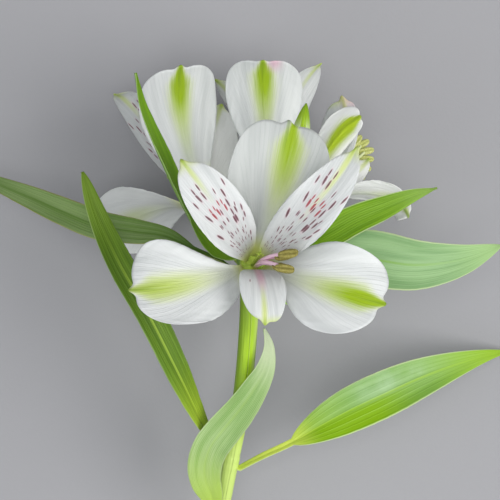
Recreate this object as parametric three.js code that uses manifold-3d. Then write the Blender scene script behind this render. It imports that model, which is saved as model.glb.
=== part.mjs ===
// A cut stem of a white alstroemeria (Peruvian lily), lying on its side on a flat surface.
//
// Units are millimetres, +Z is up and the surface is the plane z = 0. The stem runs along +Y to the
// flower head, whose nearest flower looks up along +Z. The origin lies on the surface under the middle
// of the part. All points below are measured from the umbel, the knob at the top of the stem from which
// the flower stalks and the upper whorl of leaves grow.

import * as THREE from "three";
import { mergeVertices } from "three/addons/utils/BufferGeometryUtils.js";
import Module from "manifold-3d";

const wasm = await Module();
wasm.setup();

// ---------------------------------------------------------------- driving dimensions

const UMBEL = [7.41, 44.11, 41.5]; // the umbel in the part's frame, above the surface

const STEM_RADIUS_TOP = 2.7;
const STEM_RADIUS_CUT = 2.4;
const KNOB_RADIUS = 3.4; // the swollen top of the stem
const STEM_ROUTE = [
  [-16.5, -148, -39.3],
  [-15.6, -118, -34.5],
  [-11.5, -88, -26.5],
  [-7.6, -66, -18.3],
  [-2.4, -38, -10],
  [-0.4, -16, -3.8],
  [0, 0, 0],
];
const CUT_ANGLE = 38; // between the cut and a square one
const CUT_SETBACK = 2.2; // of the middle of the cut from the stem's lower end
const STEM_SIDES = 12;
const STEM_STEPS = 18;

const STALK_RADIUS = 1.25; // a flower's own stalk
const OVARY_RADIUS = 3.1;
const OVARY_LENGTH = 8;
const STYLE_RADIUS = 0.3;
const STYLE_LENGTH = 15;
const STAMEN_REACH = 21; // how far the anthers stand from the ovary in the flowers seen from outside
const FILAMENT_RADIUS = 0.35;
const RING_RADIUS = 0.98; // the small ring that joins the stamens
const RING_THICKNESS = 0.62;
const ANTHER = [5.2, 2.3]; // length, thickness
const GAP = 0.35; // clearance between pieces that touch on the real plant

const OUTER_RIM = 2.95; // where the outer tepals stand around the top of the ovary
const INNER_RIM = 2.0;
const TEPAL_THICKNESS = 0.7;
const LEAF_THICKNESS = 0.7;

// ---------------------------------------------------------------- vectors and curves

const v = (p) => new THREE.Vector3(...p);
const along = (start, direction, distance) => start.clone().addScaledVector(direction, distance);

/** The unit vector nearest to `vector` that is square to `axis`. */
function square(vector, axis) {
  return along(vector, axis, -vector.dot(axis)).normalize();
}

/** A smooth step from 0 at a to 1 at b. */
function ramp(x, a, b) {
  return THREE.MathUtils.smoothstep(x, a, b);
}

/** A bell curve round 0. */
function hump(x, width) {
  return Math.exp(-((x / width) ** 2));
}

/** Linear interpolation through a list of vectors, at t from 0 to 1. */
function between(list, t) {
  const place = THREE.MathUtils.clamp(t, 0, 1) * (list.length - 1);
  const i = Math.min(Math.floor(place), list.length - 2);
  return list[i].clone().lerp(list[i + 1], place - i);
}

// ---------------------------------------------------------------- solids

/** The geometry as a manifold-3d solid. */
function solid(geometry) {
  const bare = geometry.clone();
  for (const name of Object.keys(bare.attributes)) {
    if (name !== "position") bare.deleteAttribute(name);
  }
  const merged = mergeVertices(bare, 1e-3);
  return new wasm.Manifold(
    new wasm.Mesh({
      numProp: 3,
      vertProperties: merged.attributes.position.array,
      triVerts: new Uint32Array(merged.index.array),
    }),
  );
}

function geometryOf(manifold) {
  const mesh = manifold.getMesh();
  const geometry = new THREE.BufferGeometry();
  geometry.setAttribute("position", new THREE.BufferAttribute(mesh.vertProperties, 3));
  geometry.setIndex(new THREE.BufferAttribute(mesh.triVerts, 1));
  return geometry;
}

/** The union of several closed geometries. */
function fuse(geometries) {
  return geometryOf(geometries.map(solid).reduce((whole, piece) => whole.add(piece)));
}

/** The geometry with whatever reaches below the surface cut away, which leaves a small flat spot. */
function restOnSurface(geometry) {
  geometry.computeBoundingBox();
  if (geometry.boundingBox.min.z > -UMBEL[2]) return geometry;
  const block = new THREE.BoxGeometry(1000, 1000, 100);
  block.translate(0, 0, -UMBEL[2] - 50);
  return geometryOf(solid(geometry).subtract(solid(block)));
}

/** The stem with its lower end cut at a slant, so that the longer side lies on the surface. */
function cutObliquely(geometry) {
  const block = new THREE.BoxGeometry(40, 20, 40);
  block.translate(0, -10, 0);
  block.rotateX(-THREE.MathUtils.degToRad(CUT_ANGLE));
  block.translate(...v(STEM_ROUTE[0]).add(new THREE.Vector3(0, CUT_SETBACK, 0)));
  return geometryOf(solid(geometry).subtract(solid(block)));
}

/** A tube along a curve; radius(t, angle) is its radius at t from 0 to 1. */
function tube(curve, radius, sides, steps) {
  const geometry = new THREE.CylinderGeometry(1, 1, 1, sides, steps);
  const frames = curve.computeFrenetFrames(steps);
  const position = geometry.attributes.position;
  for (let i = 0; i < position.count; i++) {
    const x = position.getX(i);
    const z = position.getZ(i);
    const row = Math.round((position.getY(i) + 0.5) * steps);
    const t = row / steps;
    const r = radius(t, Math.atan2(z, x));
    const point = curve.getPointAt(t);
    point.addScaledVector(frames.normals[row], x * r);
    point.addScaledVector(frames.binormals[row], -z * r);
    position.setXYZ(i, point.x, point.y, point.z);
  }
  return geometry;
}

/** A closed blade of even thickness around the sheet surface(s, t), s from -1 to 1 and t from 0 to 1. */
function blade(surface, columns, rows, thickness) {
  const sheet = new THREE.PlaneGeometry(1, 1, columns.length - 1, rows.length - 1);
  const position = sheet.attributes.position;
  for (let i = 0; i < position.count; i++) {
    const s = columns[i % columns.length];
    const t = rows[rows.length - 1 - Math.floor(i / columns.length)];
    position.setXYZ(i, ...surface(s, t));
  }
  sheet.computeVertexNormals();
  return thicken(sheet, columns.length, rows.length, thickness);
}

/** Both faces of a grid of points, split into triangles alike, with a strip around its edge. */
function thicken(sheet, across, down, thickness) {
  const { position, normal } = sheet.attributes;
  const count = position.count;
  const points = [];
  for (const side of [0.5, -0.5]) {
    for (let i = 0; i < count; i++) {
      const p = new THREE.Vector3().fromBufferAttribute(position, i);
      const n = new THREE.Vector3().fromBufferAttribute(normal, i);
      points.push(...p.addScaledVector(n, side * thickness));
    }
  }
  const index = [...sheet.index.array];
  for (let i = 0; i < sheet.index.count; i += 3) {
    const [a, b, c] = [0, 1, 2].map((k) => sheet.index.array[i + k] + count);
    index.push(a, c, b);
  }
  const rim = [];
  for (let i = 0; i < across - 1; i++) rim.push(i);
  for (let j = 0; j < down - 1; j++) rim.push(j * across + across - 1);
  for (let i = across - 1; i > 0; i--) rim.push((down - 1) * across + i);
  for (let j = down - 1; j > 0; j--) rim.push(j * across);
  rim.forEach((a, k) => {
    const b = rim[(k + 1) % rim.length];
    index.push(a, b, b + count, a, b + count, a + count);
  });
  const geometry = new THREE.BufferGeometry();
  geometry.setAttribute("position", new THREE.Float32BufferAttribute(points, 3));
  geometry.setIndex(index);
  return geometry;
}

// ---------------------------------------------------------------- tepals

// The two kinds of tepal. `widest` is the share of the length at which a tepal is widest, and `crown`
// shapes its end above that: the outer ones are notched around a green point, the inner ones pointed.
const OUTER = {
  rim: OUTER_RIM,
  claw: 1.1,
  widest: 0.66,
  swell: 1.5,
  crown: (s, full, point) =>
    (1 - Math.abs(s) ** full) ** 0.42 * (1 - 0.08 * hump(s, 0.3)) + point * hump(s, 0.1),
  full: 2.6,
  point: 0.09,
};
const INNER = {
  rim: INNER_RIM,
  claw: 0.8,
  widest: 0.6,
  swell: 1.3,
  crown: (s, full, point) => (1 - point) * (1 - Math.abs(s) ** full) ** 0.6 + point * hump(s, 0.14),
  full: 2,
  point: 0.12,
};
const TEPAL_COLUMNS = [-1, -0.93, -0.72, -0.42, -0.15, 0, 0.15, 0.42, 0.72, 0.93, 1];
const TEPAL_ROWS = [0, 0.15, 0.3, 0.45, 0.6, 0.75, 0.88, 1];

/**
 * The sheet of one tepal. It rises from the ovary along the flower's axis and flares out to its tip.
 *   rise, run  how far it follows the axis from its base and its last direction before its tip
 *   droop      the slope of its end, in degrees below square to the axis
 *   bend       how far its middle stands to the side, in mm
 *   roll       how far its face turns round its length
 *   cup        how far its edges stand up on the inner side, as a share of its half width
 *   wave       height of the waves along its edges, in mm
 *   full       how square its end is
 *   slant      how much further its end reaches on its right, seen from its inner side with its tip up
 *   lean       how much wider it is on that side
 *   skew       how much nearer the tip it is widest on that side
 *   pinch      how much later it widens on that side
 *   notch      how far its middle stays behind its end
 *   point      how far the green point at its tip stands out
 */
function tepalSheet(flower, tepal) {
  const kind = tepal.kind;
  const axis = v(flower.axis).normalize();
  const base = v(flower.base);
  const tip = v(tepal.tip);
  const out = square(tip.clone().sub(base), axis);
  const start = along(along(base, out, kind.rim), axis, GAP + (tepal.kind === INNER ? 0.1 : 0));
  const chord = tip.distanceTo(start);
  const droop = THREE.MathUtils.degToRad(tepal.droop ?? 10);
  const end = out.clone().multiplyScalar(Math.cos(droop)).addScaledVector(axis, -Math.sin(droop));
  const sideways = new THREE.Vector3().crossVectors(axis, out);
  const curve = new THREE.CubicBezierCurve3(
    start,
    along(along(start, axis, (tepal.rise ?? 0.4) * chord), sideways, 0.5 * (tepal.bend ?? 0)),
    along(along(tip, end, -(tepal.run ?? 0.35) * chord), sideways, tepal.bend ?? 0),
    tip,
  );
  const facing = axis.clone().sub(out);
  const plain = { slant: 0, lean: 0, skew: 0, pinch: 0, notch: 0 };
  const { full, point, slant, lean, skew, pinch, notch } = { ...plain, ...kind, ...tepal };
  const peak = kind.crown(0, full, point);
  return (s, t) => {
    const widest = (tepal.widest ?? kind.widest) * (1 + skew * s);
    const crown = (kind.crown(s, full, point) / peak) * (1 + slant * s) * (1 - notch * hump(s, 0.25));
    const u = t * Math.min(1, widest + (1 - widest) * crown);
    const opening = Math.sin((Math.PI / 2) * t) ** ((tepal.swell ?? kind.swell) * (1 + pinch * s));
    const half = kind.claw + (tepal.width / 2 - kind.claw) * opening;
    const turn = facing.clone().addScaledVector(sideways, (tepal.roll ?? 0) * u);
    const heading = curve.getTangentAt(u);
    const normal = square(turn, heading);
    const side = new THREE.Vector3().crossVectors(heading, normal);
    const lift =
      (tepal.cup ?? 0.2) * half * s * s * ramp(u, 0, 0.4) +
      (tepal.curl?.[s < 0 ? 0 : 1] ?? 0) * half * Math.abs(s) ** 3 * ramp(u, 0.3, 0.8) +
      (tepal.wave ?? 0.5) * Math.sin(9 * u + 4 * s + (tepal.phase ?? 0)) * s * s * ramp(u, 0.3, 0.7);
    const across = half * s + lean * (half - kind.claw) * s * s;
    return along(along(curve.getPointAt(u), side, across), normal, lift);
  };
}

// ---------------------------------------------------------------- flowers

const FRONT = {
  name: "front",
  root: [0.1, 0.1, 1],
  base: [0.5, 0.8, 24],
  axis: [0.14, 0.24, 1],
  tepals: {
    outer_top: { kind: OUTER, tip: [10.1, 38.8, 43], width: 26, rise: 0.3, point: 0.12 },
    outer_left: {
      kind: OUTER, tip: [-31.4, -5.2, 44], width: 24.2, bend: 4.5, rise: 0.35, swell: 2.7, full: 3,
      widest: 0.69, skew: 0.12, slant: 0.2, pinch: 0.32, lean: 0.06, point: 0.16,
    },
    outer_right: {
      kind: OUTER, tip: [35.6, -9.1, 44], width: 24.8, bend: -3.8, rise: 0.35, swell: 3.1, full: 2.8,
      slant: -0.3, pinch: 0.32, notch: 0.03, point: 0.16,
    },
    inner_left: {
      kind: INNER, tip: [-17.7, 28.2, 51], width: 14.4, widest: 0.66, rise: 0.42, bend: 3.2, full: 2.4,
      pinch: -0.3, lean: -0.06,
    },
    inner_right: {
      kind: INNER, tip: [27.6, 31.5, 52], width: 12.8, rise: 0.42, bend: -4.8, full: 2.2, lean: -0.04,
    },
    inner_bottom: {
      kind: INNER, tip: [3.8, -14.2, 48], width: 12, widest: 0.66, rise: 0.5, cup: 0.1, full: 3.4,
      slant: -0.16,
    },
  },
  anthers: [
    { tip: [9.7, 4.1, 48.5], heading: [1, 0.1, -0.1] },
    { tip: [8.8, 0.4, 48], heading: [1, -0.1, -0.1] },
    { tip: [9.9, 4.2, 45.6], heading: [1, 0.2, 0] },
    { tip: [8.9, 0.3, 45.2], heading: [1, -0.2, 0] },
    { tip: [8.9, 3.6, 43], heading: [1, 0.2, 0] },
    { tip: [8.2, 0.6, 42.4], heading: [1, -0.2, 0.1] },
  ],
};
const LEFT = {
  name: "left",
  root: [-0.75, 0.6, -0.2],
  base: [-12.4, 16.7, -6],
  axis: [-0.35, 0.71, -0.61],
  tepals: {
    outer_top: {
      kind: OUTER, tip: [-19.3, 56.7, 8], width: 23.4, bend: -1, full: 2.3, slant: -0.03, point: 0.12,
    },
    outer_left: {
      kind: OUTER, tip: [-43, 6.5, -31], width: 22, rise: 0.22, bend: 2.5, roll: -1, droop: 12,
      cup: 0.11, swell: 1.7,
    },
    outer_under: {
      kind: OUTER, tip: [-2.3, 15.2, -42.2], width: 16.7, rise: 0.34, bend: -1.8, roll: 0.17, droop: 9,
      cup: 0.18, swell: 1.37,
    },
    inner_left: {
      kind: INNER, tip: [-39.9, 50.9, -18], width: 13, rise: 0.27, bend: -2.3, roll: 0.15, droop: 38,
      cup: 0.23, swell: 1.82,
    },
    inner_right: {
      kind: INNER, tip: [-8.1, 47.5, -11.2], width: 13.7, widest: 0.61, rise: 0.38, bend: 5.2, roll: 1.07,
      droop: 17, cup: -0.06, swell: 1.1, lean: -0.21,
    },
    inner_under: {
      kind: INNER, tip: [-25.2, 27, -36.9], width: 9.7, rise: 0.36, bend: -2.5, roll: 0.1, droop: 1,
      cup: 0.18, swell: 1.22,
    },
  },
};
const BACK = {
  name: "back",
  root: [0.05, 1, -0.35],
  base: [4.6, 23.4, -4],
  axis: [0, 0.777, -0.63],
  tepals: {
    outer_top: { kind: OUTER, tip: [3.6, 58.5, 6], width: 22, full: 2.3, slant: 0.06, notch: 0.02 },
    outer_left: {
      kind: OUTER, tip: [-10.1, 32.7, -30], width: 13.7, widest: 0.75, rise: 0.43, bend: 0.6, roll: -0.7,
      droop: -4, cup: 0.35, swell: 2.3, lean: 0.28,
    },
    outer_right: {
      kind: OUTER, tip: [24, 28.2, -37.8], width: 15.9, rise: 0.28, bend: -0.8, roll: 0.42, droop: 29,
      cup: 0.26, swell: 1.3,
    },
    inner_left: {
      kind: INNER, tip: [-10.2, 54.6, -10.6], width: 11.2, rise: 0.46, bend: -1.1, roll: 0.06, droop: 9,
      cup: 0.1, swell: 1.85, lean: -0.3,
    },
    inner_right: {
      kind: INNER, tip: [20.6, 59, -8], width: 12.6, rise: 0.35, bend: 1.4, roll: -0.41, droop: 15,
      cup: 0.06, swell: 1.95, lean: -0.18, pinch: 0.35,
    },
    inner_under: {
      kind: INNER, tip: [4.4, 29.8, -42.2], width: 9.8, rise: 0.52, bend: -3.8, roll: -0.17, droop: 10,
      cup: 0.34, swell: 1.41,
    },
  },
};
const RIGHT = {
  name: "right",
  root: [0.9, 0.45, -0.1],
  base: [17.7, 19.9, -2],
  axis: [0.52, 0.4, -0.755],
  tepals: {
    outer_top: {
      kind: OUTER, tip: [32.6, 44, -9.6], width: 10, widest: 0.76, bend: -7, droop: -40, swell: 2,
      full: 2.2, slant: 0.14, lean: 0.34, notch: 0.06,
    },
    outer_right: {
      kind: OUTER, tip: [46.4, 14.5, -14], width: 8.8, widest: 0.68, bend: -2.4, droop: 40, swell: 2,
      slant: -0.4,
    },
    outer_under: {
      kind: OUTER, tip: [22.5, 26.9, -30.1], width: 9.1, rise: 0.41, bend: 0, roll: -0.26, droop: 3,
      cup: 0.06, swell: 2.1,
    },
    inner_top: {
      kind: INNER, tip: [34.9, 32.1, -16.4], width: 9, rise: 0.58, bend: 2.9, roll: -0.74, droop: 9,
      cup: 0.05, swell: 2.52,
    },
    inner_left: {
      kind: INNER, tip: [26.9, 50.6, -18.7], width: 14.4, rise: 0.27, bend: 1.1, roll: 0.02, droop: 8,
      cup: 0.12, swell: 1.3, full: 3.6, slant: 0.1, pinch: -0.5, lean: 0.55,
    },
    inner_under: {
      kind: INNER, tip: [24.4, 27.5, -29.7], width: 8.1, rise: 0.2, bend: 0.4, roll: -0.26, droop: 4,
      cup: 0.22, swell: 1.82,
    },
  },
  anthers: [
    { tip: [31.6, 37.4, -25], heading: [0.6, 0.7, -0.2] },
    { tip: [33.4, 36.6, -26], heading: [0.8, 0.5, -0.2] },
    { tip: [34.5, 34.6, -25], heading: [1, 0.2, -0.2] },
    { tip: [34.5, 32.3, -26], heading: [1, 0, -0.2] },
    { tip: [33.7, 29.9, -25], heading: [1, -0.3, -0.2] },
    { tip: [32.2, 27.8, -26], heading: [0.9, -0.6, -0.2] },
  ],
};
const FLOWERS = [FRONT, LEFT, BACK, RIGHT];

const BUD = { name: "bud", root: [0.45, 0.55, 0.7], base: [11.2, 20, 8.5], axis: [4.4, 25.8, 3.5] };
const BUD_LENGTH = 26;
const BUD_RADIUS = 3.5;

/** The stalk, ribbed ovary and, in an open flower, the style: one piece. */
function pistil(flower) {
  const axis = v(flower.axis).normalize();
  const top = v(flower.base);
  const bottom = along(top, axis, -OVARY_LENGTH);
  const first = v(flower.root).normalize();
  const stalk = new THREE.CubicBezierCurve3(
    first.clone().multiplyScalar(KNOB_RADIUS + GAP),
    first.clone().multiplyScalar(KNOB_RADIUS + 5),
    along(bottom, axis, -5),
    along(bottom, axis, 1.5),
  );
  const ovary = new THREE.LineCurve3(bottom, top);
  const ovaryRadius = (t, angle) => {
    const belly = THREE.MathUtils.lerp(STALK_RADIUS, OVARY_RADIUS, Math.sin(Math.PI * (0.1 + 0.62 * t)));
    return belly * (1 + 0.07 * Math.cos(6 * angle));
  };
  const pieces = [tube(stalk, () => STALK_RADIUS, 8, 6), tube(ovary, ovaryRadius, 12, 6)];
  if (flower.tepals) {
    const style = new THREE.LineCurve3(along(top, axis, -1), along(top, axis, STYLE_LENGTH));
    pieces.push(tube(style, () => STYLE_RADIUS, 5, 4));
  }
  return fuse(pieces);
}

/** The anthers of a flower, spread evenly round its axis unless each has a place of its own. */
function antherPlaces(flower) {
  if (flower.anthers) return flower.anthers;
  const axis = v(flower.axis).normalize();
  const aside = square(new THREE.Vector3(0, 0, 1), axis);
  return Array.from({ length: 6 }, (_, i) => {
    const out = aside.clone().applyAxisAngle(axis, (Math.PI / 3) * (i + 0.5));
    const reach = (flower.reach ?? STAMEN_REACH) - 3 * (i % 2);
    const tip = along(along(v(flower.base), axis, reach), out, 1.7);
    return { tip: tip.toArray(), heading: along(axis, out, 0.3).toArray() };
  });
}

/** Six stamens on one small ring, which stands round the style. */
function stamens(flower) {
  const axis = v(flower.axis).normalize();
  const foot = along(v(flower.base), axis, GAP + RING_THICKNESS / 2);
  const ring = new THREE.TorusGeometry(RING_RADIUS, RING_THICKNESS / 2, 4, 9);
  ring.applyQuaternion(new THREE.Quaternion().setFromUnitVectors(new THREE.Vector3(0, 0, 1), axis));
  ring.translate(...foot);
  const pieces = [ring];
  for (const anther of antherPlaces(flower)) {
    const tip = v(anther.tip);
    const out = square(tip.clone().sub(foot), axis);
    const start = along(foot, out, RING_RADIUS);
    const reach = tip.distanceTo(start);
    const filament = new THREE.QuadraticBezierCurve3(start, along(start, axis, 0.6 * reach), tip);
    pieces.push(tube(filament, () => FILAMENT_RADIUS, 4, 3));
    const sac = new THREE.SphereGeometry(1, 6, 4);
    sac.scale(ANTHER[0] / 2, ANTHER[1] / 2, ANTHER[1] / 2);
    const heading = v(anther.heading).normalize();
    sac.applyQuaternion(new THREE.Quaternion().setFromUnitVectors(new THREE.Vector3(1, 0, 0), heading));
    sac.translate(...tip);
    pieces.push(sac);
  }
  return fuse(pieces);
}

/** The closed bud: a three-sided spindle that ends in a point. */
function bud(flower) {
  const axis = v(flower.axis).normalize();
  const start = along(v(flower.base), axis, GAP);
  const line = new THREE.LineCurve3(start, along(start, axis, BUD_LENGTH));
  const radius = (t, angle) => {
    const belly = Math.sin(Math.PI * (0.16 + 0.84 * t) ** 0.85) ** 0.8;
    return Math.max(0.25, BUD_RADIUS * belly * (1 + 0.05 * Math.cos(3 * angle)));
  };
  return tube(line, radius, 12, 12);
}

// ---------------------------------------------------------------- leaves

const LEAVES = [
  {
    name: "leaf_long_left",
    route: [
      [-8.5, -55.4, -14.4], [-13.6, -45.3, -8], [-20.3, -29.9, 2], [-28.3, -13, 9], [-36.3, 1.8, 14],
      [-41.8, 14.7, 18], [-45.6, 26.4, 20],
    ],
    facing: [[0.9, 0.2, 0.2], [0.6, 0.2, 1], [0.4, 0.2, 1], [0.3, 0.3, 1]],
    width: 8.6,
    widest: 0.5,
    stalk: 0.1,
    fullness: 0.52,
    foot: 1.6,
  },
  {
    name: "leaf_low_front",
    route: [
      [-8.6, -73.8, -17.75], [-11.2, -66.5, -13.5], [-12.9, -61.5, -10.5], [-13, -56.5, -8], [-11.3, -51.3, -6],
      [-7.6, -46.2, -5], [-3.4, -41, -4], [0.6, -35.2, -3], [4.1, -29, -3], [5.3, -23, -3],
      [4.2, -17.2, -2],
    ],
    facing: [[-0.2, -0.2, 1], [0, 0, 1], [0.2, 0, 1], [0.4, 0, 1], [0.7, 0, 0.7]],
    width: 10.4,
    widest: 0.42,
    fullness: 0.7,
  },
  {
    name: "leaf_low_right",
    route: [
      [-2.9, -58.7, -15], [3.5, -55, -12.5], [11.6, -51, -11], [20.3, -46.1, -10.5],
      [29.1, -41.6, -12], [39.5, -37, -15], [50.2, -32.7, -20], [61.3, -29.2, -26.5],
      [71.8, -26.8, -33.5], [81.8, -25.6, -41.8],
    ],
    facing: [[-0.3, 0.7, 0.6], [0, 0.3, 1], [0, 0.1, 1], [0, 0.1, 1]],
    width: 13.6,
    widest: 0.44,
    stalk: 0.18,
    fullness: 1.25,
    foot: 1.2,
  },
  {
    name: "leaf_whorl_left",
    route: [
      [-3.7, -1, 0.3], [-8.6, 2.2, 3], [-15.8, 5.3, 5], [-23.8, 8.9, 5.5], [-32.4, 10.2, 4],
      [-42.6, 11.9, 0], [-54.7, 16.5, -7], [-64.1, 20.5, -13.5], [-74, 24.5, -21], [-85, 29, -30.5],
      [-96.6, 32.8, -41.8],
    ],
    facing: [[0, 1, 0.3], [0, 0.3, 1], [0, 0, 1], [0, 0, 1]],
    width: 8.6,
    widest: 0.38,
    stalk: 0.13,
    fullness: 1.4,
  },
  {
    name: "leaf_whorl_upright",
    route: [
      [-2.6, -0.4, 2.9], [-3.6, 3, 5.2], [-7, 4.3, 9.5], [-11.6, 7.9, 14], [-15.6, 12.8, 18],
      [-19.6, 20.6, 21], [-23, 28.7, 23], [-26.4, 37, 24], [-29.1, 44.5, 24], [-30.9, 53.1, 22],
    ],
    facing: [
      [0.3, 1, 0.3], [0.1, 0.6, 1], [0.7, 0.5, 0.25],
      [0.8, 0.5, 0.4], [0.8, 0.4, 0.5], [0.8, 0.4, 0.5],
    ],
    width: 8.2,
    widest: 0.4,
    fullness: 0.8,
    foot: 1.4,
  },
  {
    name: "leaf_whorl_right",
    route: [
      [3.7, -1, -0.6], [9.9, 1.7, 1.5], [16.9, 2.9, 3], [25.3, 3.2, 4], [35.2, 2.3, 4],
      [46.4, 0.9, 4], [59.2, 2.3, 3], [71.6, 6.5, 1],
    ],
    facing: [[0, 1, 0.3], [0, 0.3, 1], [0, 0, 1], [0, 0, 1]],
    width: 16.2,
    widest: 0.43,
    fullness: 0.8,
  },
  {
    name: "leaf_whorl_high_right",
    route: [
      [2.9, -0.8, 2.4], [8.4, 3.2, 6], [15.3, 6, 8], [22.3, 9.6, 9], [29.2, 13.5, 9],
      [37.7, 17.1, 8], [45.4, 20.3, 6], [52.7, 22.6, 3],
    ],
    facing: [[0, 1, 0.3], [0, 0.3, 1], [0, 0, 1], [0, 0, 1]],
    width: 8.4,
    widest: 0.45,
  },
  {
    name: "leaf_whorl_small",
    route: [[2.4, -0.4, -3.6], [6, -3.6, -4.6], [9.2, -6.9, -5], [11.8, -9.3, -5.6], [14.4, -11.3, -7]],
    facing: [[0, 1, 0.3], [0.2, 0.3, 1], [0, 0, 1]],
    width: 5,
    widest: 0.5,
  },
];
const LEAF_COLUMNS = [-1, -0.5, 0, 0.5, 1];
const LEAF_ROWS = Array.from({ length: 15 }, (_, i) => i / 14);

/** The sheet of a leaf: a narrow stalk, then a lance-shaped blade that ends in a point. */
function leafSheet(leaf) {
  const curve = new THREE.CatmullRomCurve3(leaf.route.map(v), false, "centripetal");
  const facings = leaf.facing.map(v);
  const stalk = leaf.stalk ?? 0.08;
  const power = Math.log(0.5) / Math.log((leaf.widest - stalk) / (1 - stalk));
  return (s, t) => {
    const x = THREE.MathUtils.clamp((t - stalk) / (1 - stalk), 0, 1);
    const belly = Math.sin(Math.PI * x ** power) ** (leaf.fullness ?? 0.9);
    const foot = (leaf.foot ?? 1.1) * (1 - t * t);
    const half = Math.max(0.3, foot + (leaf.width / 2 - foot) * belly);
    const heading = curve.getTangentAt(t);
    const normal = square(between(facings, t), heading);
    const side = new THREE.Vector3().crossVectors(heading, normal);
    const lift =
      (leaf.cup ?? 0.2) * half * s * s +
      (leaf.wave ?? 0.5) * Math.sin(8 * t + 3 * s + (leaf.phase ?? 0)) * s * s * ramp(belly, 0, 1);
    return along(along(curve.getPointAt(t), side, half * s), normal, lift);
  };
}

// ---------------------------------------------------------------- the whole stem

const material = (color, roughness) => new THREE.MeshStandardMaterial({ color, roughness, metalness: 0 });
const STEM_GREEN = material(0x8fb83a, 0.5);
const LEAF_GREEN = material(0x6c9c3c, 0.55);
const TEPAL_WHITE = material(0xe8e8ec, 0.6);
const STAMEN_OLIVE = material(0x98904a, 0.7);

const stemGroup = new THREE.Group();
stemGroup.position.set(...UMBEL);

function add(name, geometry, look) {
  const mesh = new THREE.Mesh(geometry, look);
  mesh.name = name;
  stemGroup.add(mesh);
}

const stemCurve = new THREE.CatmullRomCurve3(STEM_ROUTE.map(v));
const stemRadius = (t) => {
  const swelling = (KNOB_RADIUS - STEM_RADIUS_TOP) * ramp(t, 0.95, 1);
  return THREE.MathUtils.lerp(STEM_RADIUS_CUT, STEM_RADIUS_TOP, t) + swelling;
};
const stem = tube(stemCurve, stemRadius, STEM_SIDES, STEM_STEPS);
const knob = new THREE.SphereGeometry(KNOB_RADIUS, 14, 10);
add("stem", restOnSurface(cutObliquely(fuse([stem, knob]))), STEM_GREEN);

for (const flower of FLOWERS) {
  add(`${flower.name}_pistil`, pistil(flower), STEM_GREEN);
  add(`${flower.name}_stamens`, stamens(flower), STAMEN_OLIVE);
  for (const [place, tepal] of Object.entries(flower.tepals)) {
    const petal = blade(tepalSheet(flower, tepal), TEPAL_COLUMNS, TEPAL_ROWS, TEPAL_THICKNESS);
    add(`${flower.name}_${place}`, restOnSurface(petal), TEPAL_WHITE);
  }
}
add("bud_stalk", pistil(BUD), STEM_GREEN);
add("bud", bud(BUD), LEAF_GREEN);
for (const leaf of LEAVES) {
  const green = blade(leafSheet(leaf), LEAF_COLUMNS, LEAF_ROWS, LEAF_THICKNESS);
  add(leaf.name, restOnSurface(green), LEAF_GREEN);
}

const part = new THREE.Group();
part.add(stemGroup);
export default part;
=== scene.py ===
import math

import bmesh
import bpy
import numpy as np
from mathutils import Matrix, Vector


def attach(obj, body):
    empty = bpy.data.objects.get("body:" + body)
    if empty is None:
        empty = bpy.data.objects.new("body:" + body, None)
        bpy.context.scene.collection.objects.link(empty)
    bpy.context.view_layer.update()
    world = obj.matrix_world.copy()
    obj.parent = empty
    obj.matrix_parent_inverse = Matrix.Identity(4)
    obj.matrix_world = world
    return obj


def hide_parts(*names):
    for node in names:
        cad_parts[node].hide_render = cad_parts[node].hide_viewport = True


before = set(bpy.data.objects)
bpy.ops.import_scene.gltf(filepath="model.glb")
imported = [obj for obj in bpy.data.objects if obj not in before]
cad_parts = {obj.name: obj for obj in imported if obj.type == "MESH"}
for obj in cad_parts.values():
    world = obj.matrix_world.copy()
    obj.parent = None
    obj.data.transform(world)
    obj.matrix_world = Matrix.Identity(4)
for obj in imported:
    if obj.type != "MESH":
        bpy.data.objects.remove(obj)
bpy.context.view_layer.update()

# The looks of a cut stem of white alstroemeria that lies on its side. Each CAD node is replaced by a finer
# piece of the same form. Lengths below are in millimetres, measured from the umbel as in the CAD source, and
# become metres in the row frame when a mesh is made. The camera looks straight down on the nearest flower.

UMBEL = np.array([7.41, 44.11, 41.5])  # its place in the row frame, in mm
MM = 0.001

# ---------------- camera, light and floor

CAMERA_PLACE = (7.41 * MM, 49.24 * MM, 532.5 * MM)
CAMERA_LENS = 124.6
SENSOR_WIDTH = 36
SKY_COLOUR = (0.93, 0.95, 1, 1)
SKY_STRENGTH = 0.36
LIT_POINT = (0, 0.02, 0.03)
# Each light's place and size in metres, its power in watts and its colour.
LIGHTS = {
    "key": ((0.66, -0.02, 0.75), 0.7, 8.6, (1, 0.99, 0.97)),
    "fill": ((-0.6, -0.3, 0.75), 0.8, 3.0, (0.96, 0.98, 1)),
    "top": ((-0.05, 0, 1.1), 0.5, 4.2, (1, 1, 1)),
}
FLOOR_REACH = 3
CLEARANCE = 0.00002  # the least height of a point over the floor, in metres


def add_object(name, data):
    made = bpy.data.objects.new(name, data)
    bpy.context.scene.collection.objects.link(made)
    return made


def make_camera():
    data = bpy.data.cameras.new("camera")
    data.lens = CAMERA_LENS
    data.sensor_width = SENSOR_WIDTH
    camera = add_object("camera", data)
    camera.location = CAMERA_PLACE
    bpy.context.scene.camera = camera


def make_light(name, place, size, power, colour):
    data = bpy.data.lights.new(name, "AREA")
    data.size = size
    data.energy = power
    data.color = colour
    light = add_object(name, data)
    light.location = place
    light.rotation_euler = (Vector(LIT_POINT) - Vector(place)).to_track_quat("-Z", "Y").to_euler()


def make_floor():
    mesh = bpy.data.meshes.new("floor")
    corners = [(-1, -1), (1, -1), (1, 1), (-1, 1)]
    mesh.from_pydata([(x * FLOOR_REACH, y * FLOOR_REACH, 0) for x, y in corners], [], [(0, 1, 2, 3)])
    mesh.materials.append(paper_material())
    floor = add_object("floor", mesh)


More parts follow.
